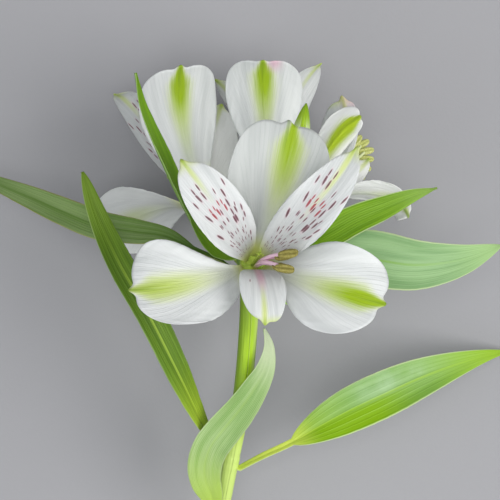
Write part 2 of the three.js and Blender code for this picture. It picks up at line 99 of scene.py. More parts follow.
def make_stage():
    scene = bpy.context.scene
    scene.view_settings.view_transform = "Standard"
    scene.world = scene.world or bpy.data.worlds.new("studio")
    scene.world.use_nodes = True
    background = scene.world.node_tree.nodes["Background"]
    background.inputs["Color"].default_value = SKY_COLOUR
    background.inputs["Strength"].default_value = SKY_STRENGTH
    for name, light in LIGHTS.items():
        make_light(name, *light)
    make_floor()


# ---------------- material graphs


def paint(red, green, blue):
    """An sRGB colour, 0 to 255, as the linear colour that a shader takes."""
    linear = [c / 255 / 12.92 if c < 10 else ((c / 255 + 0.055) / 1.055) ** 2.4 for c in (red, green, blue)]
    return (*linear, 1.0)


class Graph:
    """A material and short ways to add nodes to it. A value is a number, a colour or an output socket."""

    def __init__(self, name):
        self.material = bpy.data.materials.new(name)
        self.material.use_nodes = True
        self.tree = self.material.node_tree
        self.tree.nodes.clear()
        self.colour = None

    def node(self, kind, inputs=(), **settings):
        node = self.tree.nodes.new("ShaderNode" + kind)
        for key, value in settings.items():
            setattr(node, key, value)
        for key, value in dict(inputs).items():
            self.put(node.inputs[key], value)
        return node

    def put(self, socket, value):
        if isinstance(value, bpy.types.NodeSocket):
            self.tree.links.new(value, socket)
        else:
            socket.default_value = value

    def math(self, operation, *values):
        return self.node("Math", enumerate(values), operation=operation).outputs[0]

    def plus(self, a, b):
        return self.math("ADD", a, b)

    def minus(self, a, b):
        return self.math("SUBTRACT", a, b)

    def times(self, a, *others):
        for b in others:
            a = self.math("MULTIPLY", a, b)
        return a

    def over(self, a, b):
        return self.math("DIVIDE", a, b)

    def abs(self, a):
        return self.math("ABSOLUTE", a)

    def sine(self, a):
        return self.math("SINE", a)

    def larger(self, a, b):
        return self.math("MAXIMUM", a, b)

    def span(self, x, low, high, start=0.0, end=1.0):
        """x, taken smoothly from start at low to end at high."""
        if low > high:
            low, high, start, end = high, low, end, start
        ends = {"Value": x, "From Min": low, "From Max": high, "To Min": start, "To Max": end}
        return self.node("MapRange", ends, interpolation_type="SMOOTHSTEP").outputs[0]

    def mix(self, share, a, b):
        node = self.node("Mix", data_type="RGBA")
        for socket, value in ((node.inputs[0], share), (node.inputs[6], a), (node.inputs[7], b)):
            self.put(socket, value)
        return node.outputs[2]

    def lay(self, colour, *shares):
        """Lays a colour over the material's own, as far as the product of these shares."""
        self.colour = self.mix(self.times(*shares), self.colour, colour)

    def attributes(self, *names):
        """What the mesh says at a point under these names."""
        return [self.node("Attribute", attribute_name=name).outputs["Fac"] for name in names]

    def vector(self, x=0.0, y=0.0, z=0.0):
        return self.node("CombineXYZ", {"X": x, "Y": y, "Z": z}).outputs[0]

    def apart(self, vector):
        return self.node("SeparateXYZ", {"Vector": vector}).outputs

    def place(self):
        return self.node("TexCoord").outputs["Object"]

    def noise(self, vector, scale=1.0, detail=2.0, roughness=0.5):
        inputs = {"Vector": vector, "Scale": scale, "Detail": detail, "Roughness": roughness}
        return self.node("TexNoise", inputs).outputs["Fac"]

    def streaks(self, s, u, across, along, seed, detail=2.0):
        """Noise over a sheet, with this many grains across it and along it."""
        return self.noise(self.vector(self.times(s, across), self.times(u, along), float(seed)), 1.0, detail)

    def lines(self, s, count, warp, width):
        """Thin lines along a sheet, count of them to each side: 1 on a line and 0 between lines."""
        wave = self.abs(self.sine(self.times(self.plus(self.times(s, count), warp), math.pi)))
        return self.span(wave, width, 0.0)

    def surface(self, roughness, specular, bump, height, sheer=0.0, glow=None):
        """The finish; sheer is the share of light that passes through, tinted by glow."""
        normal = self.node("Bump", {"Height": bump, "Distance": height}).outputs[0]
        finish = {"Roughness": roughness, "Specular IOR Level": specular, "Normal": normal}
        out = self.node("BsdfPrincipled", {"Base Color": self.colour, **finish}).outputs[0]
        if sheer:
            glow = self.colour if glow is None else glow
            through = self.node("BsdfTranslucent", {"Color": glow}).outputs[0]
            out = self.node("MixShader", {0: sheer, 1: out, 2: through}).outputs[0]
        self.node("OutputMaterial", {"Surface": out})
        return self.material


# ---------------- vectors and curves


def unit(a):
    return a / np.linalg.norm(a, axis=-1, keepdims=True)


def dot(a, b):
    return (a * b).sum(-1, keepdims=True)


def square(a, axis):
    """The unit vector nearest to a that is square to axis."""
    return unit(a - dot(a, axis) * axis)


def ramp(x, low, high):
    t = np.clip((x - low) / (high - low), 0, 1)
    return t * t * (3 - 2 * t)


def hump(x, width):
    return np.exp(-((x / width) ** 2))


def ripple(x, seed, waves=(1, 2.3, 3.9, 6.1)):
    """A smooth random line, about -1 to 1, that is the same each time for the same seed."""
    draw = np.random.default_rng(seed)
    return sum(np.sin(2 * np.pi * (w * x + draw.random())) * draw.uniform(0.5, 1) for w in waves) / len(waves)


class Route:
    """A curve given by many points, read by the share of its length; past its ends it goes straight on."""

    def __init__(self, points):
        self.points = points
        steps = np.linalg.norm(np.diff(points, axis=0), axis=1)
        place = np.concatenate([[0], np.cumsum(steps)])
        self.length = place[-1]
        self.place = place / self.length

    def at(self, u):
        u = np.asarray(u, float)
        point = np.stack([np.interp(u, self.place, c) for c in self.points.T], -1)
        before = np.minimum(u, 0)[..., None] * self.length
        after = np.maximum(u - 1, 0)[..., None] * self.length
        first = unit(self.points[3] - self.points[0])
        last = unit(self.points[-1] - self.points[-4])
        return point + before * first + after * last

    def heading(self, u, reach=0.008):
        return unit(self.at(u + reach) - self.at(u - reach))

    def nearest(self, point):
        return np.argmin(np.linalg.norm(self.points - point, axis=1))


def bezier(*points, count=400):
    t = np.linspace(0, 1, count)[:, None]
    n = len(points) - 1
    shares = (math.comb(n, i) * t**i * (1 - t) ** (n - i) for i in range(n + 1))
    return sum(share * np.asarray(p, float) for share, p in zip(shares, points))


def through(points, count=60):
    """A smooth curve through points: centripetal Catmull-Rom, as in the CAD source."""
    p = np.asarray(points, float)
    p = np.vstack([2 * p[0] - p[1], p, 2 * p[-1] - p[-2]])
    t = np.linspace(0, 1, count, endpoint=False)[:, None]
    dense = []
    for a, b, c, d in zip(p, p[1:], p[2:], p[3:]):
        ab, bc, cd = (max(np.linalg.norm(y - x) ** 0.5, 1e-4) for x, y in ((a, b), (b, c), (c, d)))
        leave = ((b - a) / ab - (c - a) / (ab + bc) + (c - b) / bc) * bc
        arrive = ((c - b) / bc - (d - b) / (bc + cd) + (d - c) / cd) * bc
        squared = 3 * (c - b) - 2 * leave - arrive
        cubed = 2 * (b - c) + leave + arrive
        dense.append(b + leave * t + squared * t**2 + cubed * t**3)
    return np.vstack([*dense, p[-2]])


def rotate(vector, axis, angle):
    along = axis * (axis @ vector) * (1 - math.cos(angle))
    return vector * math.cos(angle) + np.cross(axis, vector) * math.sin(angle) + along


# ---------------- meshes


def finish_piece(name, mesh, materials, slot, *nodes):
    """Makes the mesh a piece of the object that rides on its one body and stands for these CAD nodes."""
    piece = add_object(name, mesh)
    for material in materials:
        mesh.materials.append(material)
    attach(piece, "root")
    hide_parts(*nodes)


def mesh_of(name, points, faces, values):
    """A smooth mesh from points in mm from the umbel, with named values on its points."""
    placed = (np.asarray(points) + UMBEL) * MM
    placed[:, 2] = np.maximum(placed[:, 2], CLEARANCE)
    mesh = bpy.data.meshes.new(name)
    mesh.from_pydata(placed.tolist(), [], [list(map(int, f)) for f in faces])
    mesh.shade_smooth()
    for key, value in values.items():
        made = mesh.attributes.new(key, "FLOAT", "POINT")
        made.data.foreach_set("value", np.asarray(value, np.float32).ravel())
    return mesh


def grid_faces(rows, columns, first=0, flip=False, closed=False):
    """The faces of a grid of points that starts at first; closed joins each row's end to its start."""
    i, j = np.meshgrid(np.arange(rows - 1), np.arange(columns if closed else columns - 1), indexing="ij")
    a = i * columns + j
    b = i * columns + (j + 1) % columns
    corners = [a, b, b + columns, a + columns]
    faces = np.stack([c.ravel() for c in corners], 1) + first
    return faces[:, ::-1] if flip else faces


def tube_faces(rows, sides):
    """The faces of a row of rings, closed at its ends to the two points that follow the rings."""
    last = (rows - 1) * sides
    faces = [*grid_faces(rows, sides, closed=True)]
    for k in range(sides):
        n = (k + 1) % sides
        faces.append((last + sides, n, k))
        faces.append((last + sides + 1, last + k, last + n))
    return faces


def sheet_mesh(name, sheet, s, t, thick, keel):
    """A blade with two faces and a rim around the sheet that `sheet(s, t)` returns: points and named values.

    thick(s, t) is its thickness and keel how far its midrib stands out on the outer face.
    """
    s, t = np.meshgrid(s, t)
    points, values = sheet(s, t)
    across = np.gradient(points, axis=1)
    down = np.gradient(points, axis=0)
    normal = np.cross(across, down)
    normal /= np.maximum(np.linalg.norm(normal, axis=-1, keepdims=True), 1e-9)
    if (dot(normal, values.pop("normal")) < 0).mean() > 0.5:
        normal = -normal
    half = thick(s, t)[..., None] / 2
    rib = keel * (hump(values["x"], 0.55) * ramp(t, 0.1, 0.4))[..., None]
    rows, columns = s.shape
    front = (points + normal * half).reshape(-1, 3)
    back = (points - normal * (half + rib)).reshape(-1, 3)
    count = rows * columns
    rim = [
        *range(columns - 1),
        *range(columns - 1, count - 1, columns),
        *range(count - 1, count - columns, -1),
        *range(count - columns, 0, -columns),
    ]
    middle = rows // 2, columns // 2
    turned = np.linalg.det(np.stack([across[middle], down[middle], normal[middle]])) > 0
    faces = [*grid_faces(rows, columns, flip=not turned), *grid_faces(rows, columns, count, flip=turned)]
    for a, b in zip(rim, rim[1:] + rim[:1]):
        edge = (a, a + count, b + count, b)
        faces.append(edge if turned else edge[::-1])
    both = {key: np.concatenate([v.ravel(), v.ravel()]) for key, v in values.items()}
    both["face"] = np.concatenate([np.ones(count), np.zeros(count)])
    return mesh_of(name, np.vstack([front, back]), faces, both)


def tube_part(route, radius, sides, u):
    """Points, faces and values of a tube with rings at u; radius(u, angle) is in mm. Its ends are closed."""
    centre = route.at(u)
    heading = route.heading(u)
    normal = [square(np.array([0.31, 0.2, 1.0]), heading[0])]
    for h in heading[1:]:
        normal.append(square(normal[-1], h))
    normal = np.array(normal)
    side = np.cross(heading, normal)
    angle = np.arange(sides) * 2 * np.pi / sides
    uu, aa = np.meshgrid(u, angle, indexing="ij")
    r = radius(uu, aa)[..., None]
    ring = normal[:, None] * np.cos(aa)[..., None] + side[:, None] * np.sin(aa)[..., None]
    points = (centre[:, None] + ring * r).reshape(-1, 3)
    points = np.vstack([points, centre[0], centre[-1]])
    values = {"u": np.append(uu.ravel(), [0, 1]), "a": np.append(aa.ravel(), [0, 0])}
    return points, tube_faces(len(u), sides), values


def join(parts):
    """Several closed parts as one."""
    points, faces, values = [], [], {}
    for part_points, part_faces, part_values in parts:
        shift = sum(len(p) for p in points)
        faces += [tuple(i + shift for i in f) for f in part_faces]
        points.append(part_points)
        for key, value in part_values.items():
            values.setdefault(key, []).append(value)
    return np.vstack(points), faces, {key: np.concatenate(v) for key, v in values.items()}


# ---------------- forms, as in the CAD source

# How a tepal stands: bend is its sideways swing in mm, roll how far its face turns sideways, rise how far it
# first follows the flower's axis, droop the angle in degrees at which its tip hangs and cup its hollow.
# slant, lean, skew and pinch make its two sides differ, and notch is the dip in the middle of its end.
FORM = dict(bend=0, roll=0, rise=0.4, droop=10, cup=0.2, slant=0, lean=0, skew=0, pinch=0, notch=0)
# Its claw starts at rim mm from the axis and cover mm over the ovary, and claw is half its width there. crown
# gives the form of its end from its middle, s = 0, to its edges, s = -1 and 1, full is how square that end is
# and point how far its green point stands out. swell is how slowly it widens, keel its midrib in mm.
KINDS = {
    "outer": dict(
        rim=2.95, cover=0.0, claw=1.1, widest=0.66, swell=1.5, full=2.6, point=0.09, fold=0.0, keel=0.2,
        crown=lambda s, full, point: (
            (1 - np.abs(s) ** full) ** 0.42 * (1 - 0.08 * hump(s, 0.3)) + point * hump(s, 0.1)
        ),
    ),
    "inner": dict(
        rim=2.0, cover=0.1, claw=0.8, widest=0.6, swell=1.3, full=2.0, point=0.12, fold=0.1, keel=0.12,
        crown=lambda s, full, point: (1 - point) * (1 - np.abs(s) ** full) ** 0.6 + point * hump(s, 0.14),
    ),
}


def form(tip, width, **numbers):
    """A tepal's tip in mm from the umbel, its width in mm, and what differs from FORM and KINDS."""
    return dict(tip=np.array(tip, float), width=width, **numbers)


def flower_form(name, root, base, axis, anthers=(), **tepals):
    """A flower: the way its stalk leaves the umbel, its ovary's top, the way it faces, and its tepals."""
    for place, tepal in tepals.items():
        kind = place.split("_")[0]
        tepals[place] = {"kind": kind, **FORM, **KINDS[kind], **tepal}
    root, base, axis = (np.array(v, float) for v in (root, base, axis))
    return dict(name=name, root=unit(root), base=base, axis=unit(axis), anthers=anthers, tepals=tepals)


def leaf_form(name, *route, width, widest, facing, stalk=0.08, fullness=0.9, foot=1.1):
    """A leaf: its width in mm, where along it it is widest and its stalk ends, and its route from the stem.

    facing holds the ways that its upper face turns along it, and foot is half the width of its stalk. The
    less fullness is, the fuller the leaf.
    """
    facing = np.array(facing, float)
    return dict(
        name=name, width=width, widest=widest, facing=facing, route=route,
        stalk=stalk, fullness=fullness, foot=foot,
    )


FRONT = flower_form(
    "front", root=[0.1, 0.1, 1], base=[0.5, 0.8, 24], axis=[0.14, 0.24, 1],
    anthers=[
        ([9.7, 4.1, 48.5], [1, 0.1, -0.1]), ([8.8, 0.4, 48], [1, -0.1, -0.1]),
        ([9.9, 4.2, 45.6], [1, 0.2, 0]), ([8.9, 0.3, 45.2], [1, -0.2, 0]), ([8.9, 3.6, 43], [1, 0.2, 0]),
        ([8.2, 0.6, 42.4], [1, -0.2, 0.1]),
    ],
    outer_top=form([10.1, 38.8, 43], 26, rise=0.3, point=0.12),
    outer_left=form(
        [-31.4, -5.2, 44], 24.2, bend=4.5, rise=0.35, swell=2.7, full=3, widest=0.69, skew=0.12, slant=0.2,
        pinch=0.32, lean=0.06, point=0.16,
    ),
    outer_right=form(
        [35.6, -9.1, 44], 24.8, bend=-3.8, rise=0.35, swell=3.1, full=2.8, slant=-0.3, pinch=0.32,
        notch=0.03, point=0.16,
    ),
    inner_left=form(
        [-17.7, 28.2, 51], 14.4, widest=0.66, rise=0.42, bend=3.2, full=2.4, pinch=-0.3, lean=-0.06,
    ),
    inner_right=form([27.6, 31.5, 52], 12.8, rise=0.42, bend=-4.8, full=2.2, lean=-0.04),
    inner_bottom=form([3.8, -14.2, 48], 12, widest=0.66, rise=0.5, cup=0.1, full=3.4, slant=-0.16),
)
LEFT = flower_form(
    "left", root=[-0.75, 0.6, -0.2], base=[-12.4, 16.7, -6], axis=[-0.35, 0.71, -0.61],
    outer_top=form([-19.3, 56.7, 8], 23.4, bend=-1, full=2.3, slant=-0.03, point=0.12),
    outer_left=form([-43, 6.5, -31], 22, rise=0.22, bend=2.5, roll=-1, droop=12, cup=0.11, swell=1.7),
    outer_under=form(
        [-2.3, 15.2, -42.2], 16.7, rise=0.34, bend=-1.8, roll=0.17, droop=9, cup=0.18, swell=1.37,
    ),
    inner_left=form(
        [-39.9, 50.9, -18], 13, rise=0.27, bend=-2.3, roll=0.15, droop=38, cup=0.23, swell=1.82,
    ),
    inner_right=form(
        [-8.1, 47.5, -11.2], 13.7, widest=0.61, rise=0.38, bend=5.2, roll=1.07, droop=17, cup=-0.06,
        swell=1.1, lean=-0.21,
    ),
    inner_under=form(
        [-25.2, 27, -36.9], 9.7, rise=0.36, bend=-2.5, roll=0.1, droop=1, cup=0.18, swell=1.22,
    ),
)
BACK = flower_form(
    "back", root=[0.05, 1, -0.35], base=[4.6, 23.4, -4], axis=[0, 0.777, -0.63],
    outer_top=form([3.6, 58.5, 6], 22, full=2.3, slant=0.06, notch=0.02),
    outer_left=form(
        [-10.1, 32.7, -30], 13.7, widest=0.75, rise=0.43, bend=0.6, roll=-0.7, droop=-4, cup=0.35,
        swell=2.3, lean=0.28,
    ),
    outer_right=form(
        [24, 28.2, -37.8], 15.9, rise=0.28, bend=-0.8, roll=0.42, droop=29, cup=0.26, swell=1.3,
    ),
    inner_left=form(
        [-10.2, 54.6, -10.6], 11.2, rise=0.46, bend=-1.1, roll=0.06, droop=9, cup=0.1, swell=1.85,
        lean=-0.3,
    ),
    inner_right=form(
        [20.6, 59, -8], 12.6, rise=0.35, bend=1.4, roll=-0.41, droop=15, cup=0.06, swell=1.95, lean=-0.18,
        pinch=0.35,
    ),
    inner_under=form(
        [4.4, 29.8, -42.2], 9.8, rise=0.52, bend=-3.8, roll=-0.17, droop=10, cup=0.34, swell=1.41,
    ),
)
RIGHT = flower_form(
    "right", root=[0.9, 0.45, -0.1], base=[17.7, 19.9, -2], axis=[0.52, 0.4, -0.755],
    anthers=[
        ([31.6, 37.4, -25], [0.6, 0.7, -0.2]), ([33.4, 36.6, -26], [0.8, 0.5, -0.2]),
        ([34.5, 34.6, -25], [1, 0.2, -0.2]), ([34.5, 32.3, -26], [1, 0, -0.2]),
        ([33.7, 29.9, -25], [1, -0.3, -0.2]), ([32.2, 27.8, -26], [0.9, -0.6, -0.2]),
    ],
    outer_top=form(
        [32.6, 44, -9.6], 10, widest=0.76, bend=-7, droop=-40, swell=2, full=2.2, slant=0.14, lean=0.34,
        notch=0.06,
    ),
    outer_right=form([46.4, 14.5, -14], 8.8, widest=0.68, bend=-2.4, droop=40, swell=2, slant=-0.4),
    outer_under=form([22.5, 26.9, -30.1], 9.1, rise=0.41, bend=0, roll=-0.26, droop=3, cup=0.06, swell=2.1),
    inner_top=form([34.9, 32.1, -16.4], 9, rise=0.58, bend=2.9, roll=-0.74, droop=9, cup=0.05, swell=2.52),
    inner_left=form(
        [26.9, 50.6, -18.7], 14.4, rise=0.27, bend=1.1, roll=0.02, droop=8, cup=0.12, swell=1.3, full=3.6,
        slant=0.1, pinch=-0.5, lean=0.55,
    ),
    inner_under=form(
        [24.4, 27.5, -29.7], 8.1, rise=0.2, bend=0.4, roll=-0.26, droop=4, cup=0.22, swell=1.82,
    ),
)
FLOWERS = [FRONT, LEFT, BACK, RIGHT]
BUD = flower_form("bud", root=[0.45, 0.55, 0.7], base=[11.2, 20, 8.5], axis=[4.4, 25.8, 3.5])

LEVEL = [[0, 1, 0.3], [0, 0.3, 1], [0, 0, 1], [0, 0, 1]]  # the facing of leaves that soon look up
LEAVES = [
    leaf_form(
        "leaf_long_left",
        [-8.5, -55.4, -14.4], [-13.6, -45.3, -8], [-20.3, -29.9, 2], [-28.3, -13, 9], [-36.3, 1.8, 14],
        [-41.8, 14.7, 18], [-45.6, 26.4, 20],
        width=8.6, widest=0.5, stalk=0.1, fullness=0.52, foot=1.6,
        facing=[[0.9, 0.2, 0.2], [0.6, 0.2, 1], [0.4, 0.2, 1], [0.3, 0.3, 1]],
    ),
    leaf_form(
        "leaf_low_front",
        [-8.6, -73.8, -17.75], [-11.2, -66.5, -13.5], [-12.9, -61.5, -10.5], [-13, -56.5, -8],
        [-11.3, -51.3, -6], [-7.6, -46.2, -5], [-3.4, -41, -4], [0.6, -35.2, -3], [4.1, -29, -3],
        [5.3, -23, -3], [4.2, -17.2, -2],
        width=10.4, widest=0.42, fullness=0.7,
        facing=[[-0.2, -0.2, 1], [0, 0, 1], [0.2, 0, 1], [0.4, 0, 1], [0.7, 0, 0.7]],
    ),
    leaf_form(
        "leaf_low_right",
        [-2.9, -58.7, -15], [3.5, -55, -12.5], [11.6, -51, -11], [20.3, -46.1, -10.5], [29.1, -41.6, -12],
        [39.5, -37, -15], [50.2, -32.7, -20], [61.3, -29.2, -26.5], [71.8, -26.8, -33.5],
        [81.8, -25.6, -41.8],
        width=13.6, widest=0.44, stalk=0.18, fullness=1.25, foot=1.2,
        facing=[[-0.3, 0.7, 0.6], [0, 0.3, 1], [0, 0.1, 1], [0, 0.1, 1]],
    ),
    leaf_form(
        "leaf_whorl_left",
        [-3.7, -1, 0.3], [-8.6, 2.2, 3], [-15.8, 5.3, 5], [-23.8, 8.9, 5.5], [-32.4, 10.2, 4],
        [-42.6, 11.9, 0], [-54.7, 16.5, -7], [-64.1, 20.5, -13.5], [-74, 24.5, -21], [-85, 29, -30.5],
        [-96.6, 32.8, -41.8],
        width=8.6, widest=0.38, stalk=0.13, fullness=1.4, facing=LEVEL,
    ),
    leaf_form(
        "leaf_whorl_upright",
        [-2.6, -0.4, 2.9], [-3.6, 3, 5.2], [-7, 4.3, 9.5], [-11.6, 7.9, 14], [-15.6, 12.8, 18],
        [-19.6, 20.6, 21], [-23, 28.7, 23], [-26.4, 37, 24], [-29.1, 44.5, 24], [-30.9, 53.1, 22],
        width=8.2, widest=0.4, fullness=0.8, foot=1.4,
        facing=[
            [0.3, 1, 0.3], [0.1, 0.6, 1], [0.7, 0.5, 0.25], [0.8, 0.5, 0.4], [0.8, 0.4, 0.5],
            [0.8, 0.4, 0.5],
        ],
    ),
    leaf_form(
        "leaf_whorl_right",
        [3.7, -1, -0.6], [9.9, 1.7, 1.5], [16.9, 2.9, 3], [25.3, 3.2, 4], [35.2, 2.3, 4], [46.4, 0.9, 4],
        [59.2, 2.3, 3], [71.6, 6.5, 1],
        width=16.2, widest=0.43, fullness=0.8, facing=LEVEL,
    ),
    leaf_form(
        "leaf_whorl_high_right",
        [2.9, -0.8, 2.4], [8.4, 3.2, 6], [15.3, 6, 8], [22.3, 9.6, 9], [29.2, 13.5, 9], [37.7, 17.1, 8],
        [45.4, 20.3, 6], [52.7, 22.6, 3],
        width=8.4, widest=0.45, facing=LEVEL,
    ),
    leaf_form(
        "leaf_whorl_small",
        [2.4, -0.4, -3.6], [6, -3.6, -4.6], [9.2, -6.9, -5], [11.8, -9.3, -5.6], [14.4, -11.3, -7],
        width=5, widest=0.5, facing=[[0, 1, 0.3], [0.2, 0.3, 1], [0, 0, 1]],
    ),
]
LOW_LEAVES = 3  # the first leaves of the list, which grow from the stem below the umbel
LEAF_KEEL = 0.22

STEM_ROUTE = [
    [-16.5, -148, -39.3], [-15.6, -118, -34.5], [-11.5, -88, -26.5], [-7.6, -66, -18.3], [-2.4, -38, -10],
    [-0.4, -16, -3.8], [0, 0, 0],
]
STEM_RADIUS_TOP = 2.7
STEM_RADIUS_CUT = 2.4
KNOB_RADIUS = 3.4
CUT_ANGLE = 38
CUT_SETBACK = 2.2
STALK_RADIUS = 1.25
OVARY_RADIUS = 3.1
OVARY_LENGTH = 8
STYLE_LENGTH = 15
STAMEN_REACH = 21
GAP = 0.35
STAMENS = 6
LOBES = 3  # of a style's end
FILAMENT_RADIUS = 0.68
FILAMENT_TAPER = 0.28
ANTHER_LENGTH = 5.2
ANTHER_WIDTH = 2.3
FURROW_ANGLE = 0.3  # where the furrow between its sacs lies, in radians
BUD_LENGTH = 26
BUD_RADIUS = 3.5
LEAF_SCARS = (0.1, 0.22, 0.36, 0.53)  # shares of the stem's length
SCAR_RISE = 0.16
SCAR_DIP = 0.07

HALF = np.concatenate([
    np.linspace(0, 0.12, 5), np.linspace(0.16, 0.84, 18), [0.88, 0.91, 0.94, 0.96, 0.975, 0.987, 0.995, 1],
])
TEPAL_COLUMNS = np.concatenate([-HALF[:0:-1], HALF])
TEPAL_ROWS = np.concatenate([np.linspace(0, 0.9, 42), [0.92, 0.94, 0.96, 0.98, 1]])
LEAF_COLUMNS = np.linspace(-1, 1, 37)
LEAF_ROWS = np.linspace(-0.02, 1, 150)
# Thickness at a blade's edge, what its middle adds and what a leaf's foot adds, in mm.
TEPAL_EDGE, TEPAL_BODY = 0.14, 0.4
LEAF_EDGE, LEAF_BODY, LEAF_FOOT = 0.16, 0.42, 0.5
TIP_THINNING = 0.55  # the share of its thickness that a tepal loses at its tip
LEAF_SEED = 200  # the leaves' seeds follow from it, past those of the flowers
EDGE_WAVES = (1, 2.7, 5.3, 9.1)  # how often the small waves of a blade's edge repeat
TIP_RUN = 0.35  # the share of a tepal's chord over which its end runs straight
ROOT_RUN = 70  # mm of run towards the stem's middle for each leaf length before the leaf's start


def tepal_sheet(flower, tepal, seed):
    """The middle surface of a tepal, from its claw at t = 0 to its tip at t = 1."""
    axis, base = flower["axis"], flower["base"]
    tip = tepal["tip"]
    out = square(tip - base, axis)
    start = base + out * tepal["rim"] + axis * (GAP + tepal["cover"])
    chord = np.linalg.norm(tip - start)
    droop = math.radians(tepal["droop"])
    end = out * math.cos(droop) - axis * math.sin(droop)
    sideways = np.cross(axis, out)
    bend, claw, full, point = (tepal[key] for key in ("bend", "claw", "full", "point"))
    second = start + axis * tepal["rise"] * chord + sideways * 0.5 * bend
    third = tip - end * TIP_RUN * chord + sideways * bend
    route = Route(bezier(start, second, third, tip))
    peak = tepal["crown"](0, full, point)

    def sheet(s, t):
        widest = tepal["widest"] * (1 + tepal["skew"] * s)
        crown = tepal["crown"](s, full, point) / peak
        crown = crown * (1 + tepal["slant"] * s) * (1 - tepal["notch"] * hump(s, 0.25))
        u = t * np.minimum(1, widest + (1 - widest) * crown)
        opening = np.sin(np.pi / 2 * t) ** (tepal["swell"] * (1 + tepal["pinch"] * s))
        half = claw + (tepal["width"] / 2 - claw) * opening
        leaning = tepal["lean"] * (half - claw) * s**2
        heading = route.heading(u)
        normal = square(axis - out + sideways * tepal["roll"] * u[..., None], heading)
        side = np.cross(heading, normal)
        # Its hollow, its wave, its crease, the ripples of its edge and those of its face.
        lift = (
            tepal["cup"] * half * s**2 * ramp(u, 0, 0.4)
            + 0.5 * np.sin(9 * u + 4 * s) * (s**2 * ramp(u, 0.3, 0.7))
            + tepal["fold"] * half * (np.abs(s) - s**2) * ramp(u, 0.2, 0.6)
            + 0.22 * ripple(t * 2.2 + np.sign(s) * 3, seed) * np.abs(s) ** 5 * ramp(t, 0.2, 0.5)
            + 0.1 * ripple(s * 1.2 + u * 0.8, seed + 50) * ramp(u, 0.2, 0.5)
        )
        frill = ripple(t * 4 + np.sign(s) * 7, seed + 99, EDGE_WAVES)
        reach = half * (1 + 0.012 * frill * ramp(t, 0.2, 0.5))
        points = route.at(u) + side * (reach * s + leaning)[..., None] + normal * lift[..., None]
        return points, {"normal": normal, "s": s, "u": u, "x": half * s + leaning}

    return sheet


def leaf_sheet(leaf, toward, seed):
    """The middle surface of a leaf, from inside the stem at t < 0 to its tip at t = 1."""
    route = Route(through(leaf["route"]))
    facings, stalk = leaf["facing"], leaf["stalk"]
    power = math.log(0.5) / math.log((leaf["widest"] - stalk) / (1 - stalk))
    root = unit(toward - route.at(0.0))

    def sheet(s, t):
        x = np.clip((t - stalk) / (1 - stalk), 0, 1)
        belly = np.sin(np.pi * x**power) ** leaf["fullness"]
        foot = leaf["foot"] * (1 - np.clip(t, 0, 1) ** 2)
        half = np.maximum(0.3, foot + (leaf["width"] / 2 - foot) * belly)
        u = np.clip(t, 0, 1)
        heading = route.heading(np.clip(t, 0.01, 0.99))
        index = u * (len(facings) - 1)
        turn = np.stack([np.interp(index, np.arange(len(facings)), c) for c in facings.T], -1)
        normal = square(turn, heading)
        side = np.cross(heading, normal)
        # Its hollow, its wave, the ripples of its edge, its lengthwise ribs and the groove over its midrib.
        lift = (
            0.2 * half * s**2
            + 0.5 * np.sin(8 * t + 3 * s) * s**2 * ramp(belly, 0, 1)
            + 0.2 * ripple(t * 3 + np.sign(s) * 3, seed) * s**4 * belly
            + 0.05 * np.cos(np.pi * s * 5) * belly * (1 - s**2)
            - 0.18 * hump(s * half, 0.5) * (1 - t)
        )
        reach = half * (1 + 0.01 * ripple(t * 5 + np.sign(s) * 7, seed + 9, EDGE_WAVES) * belly)
        points = route.at(u) + side * (reach * s)[..., None] + normal * lift[..., None]
        points = points + root * (np.maximum(-t, 0) * ROOT_RUN)[..., None]
        return points, {"normal": normal, "s": s, "u": u, "x": half * s}

    return sheet


# ---------------- colours, and what differs from piece to piece

PAPER = paint(146, 146, 149), paint(150, 150, 153)
WHITE = paint(229, 231, 232)
WHITE_SHADE = paint(211, 214, 215)
# Painted light, laid over a whole petal that the lamps leave in shade.
PAINTED_LIGHT = paint(247, 248, 248)
SHADE = paint(150, 156, 150)
PETAL_GLOW = paint(238, 240, 232)
VEIN = paint(194, 200, 200)
STRIPE = paint(158, 188, 12)
STRIPE_YELLOW = paint(190, 216, 20)
STRIPE_DARK = paint(116, 150, 14)
STRIPE_PALE = paint(214, 226, 140)
# The yellow-green of a petal's base, made lighter than it is as painted light in the flower's shaded throat.
THROAT_GREEN_AND_LIGHT = paint(232, 240, 112)
DASH = paint(100, 38, 58)
DASH_RED = paint(176, 38, 58)
HALO = paint(236, 200, 212)
PINK = paint(232, 170, 196)
THREAD_FOOT = paint(206, 216, 96)
LEAF_BACK = paint(150, 182, 120)
LEAF_BLOOM = paint(196, 220, 190)
LEAF_GLOW = paint(176, 210, 60)
STEM_SHADOW = paint(104, 136, 20)
PITH = paint(214, 226, 172), paint(232, 238, 206)
BUNDLE = paint(140, 172, 84)
BUD_WHITE = paint(232, 238, 222), paint(214, 226, 196)
BUD_GREEN = paint(166, 200, 12)
BUD_FOOT = paint(176, 200, 90)
BUD_TIP = paint(136, 174, 6)
BUD_LINE = paint(120, 160, 40)
# Dark and light skin, as sRGB, 0 to 255; the stem's third colour is that of its paler lower part, also laid
# on its lit side as painted light.
STEM_TONES = (150, 188, 18), (164, 200, 34), (196, 220, 118)
PISTIL_TONES = (158, 190, 40), (196, 216, 96)
BUD_STALK_TONES = (128, 168, 40), (176, 204, 96)
STEM_GRAIN = 6  # how much oftener the stem's pattern repeats along it than a stalk's
LEAFY = 0.64  # how far up the stem its pale part ends
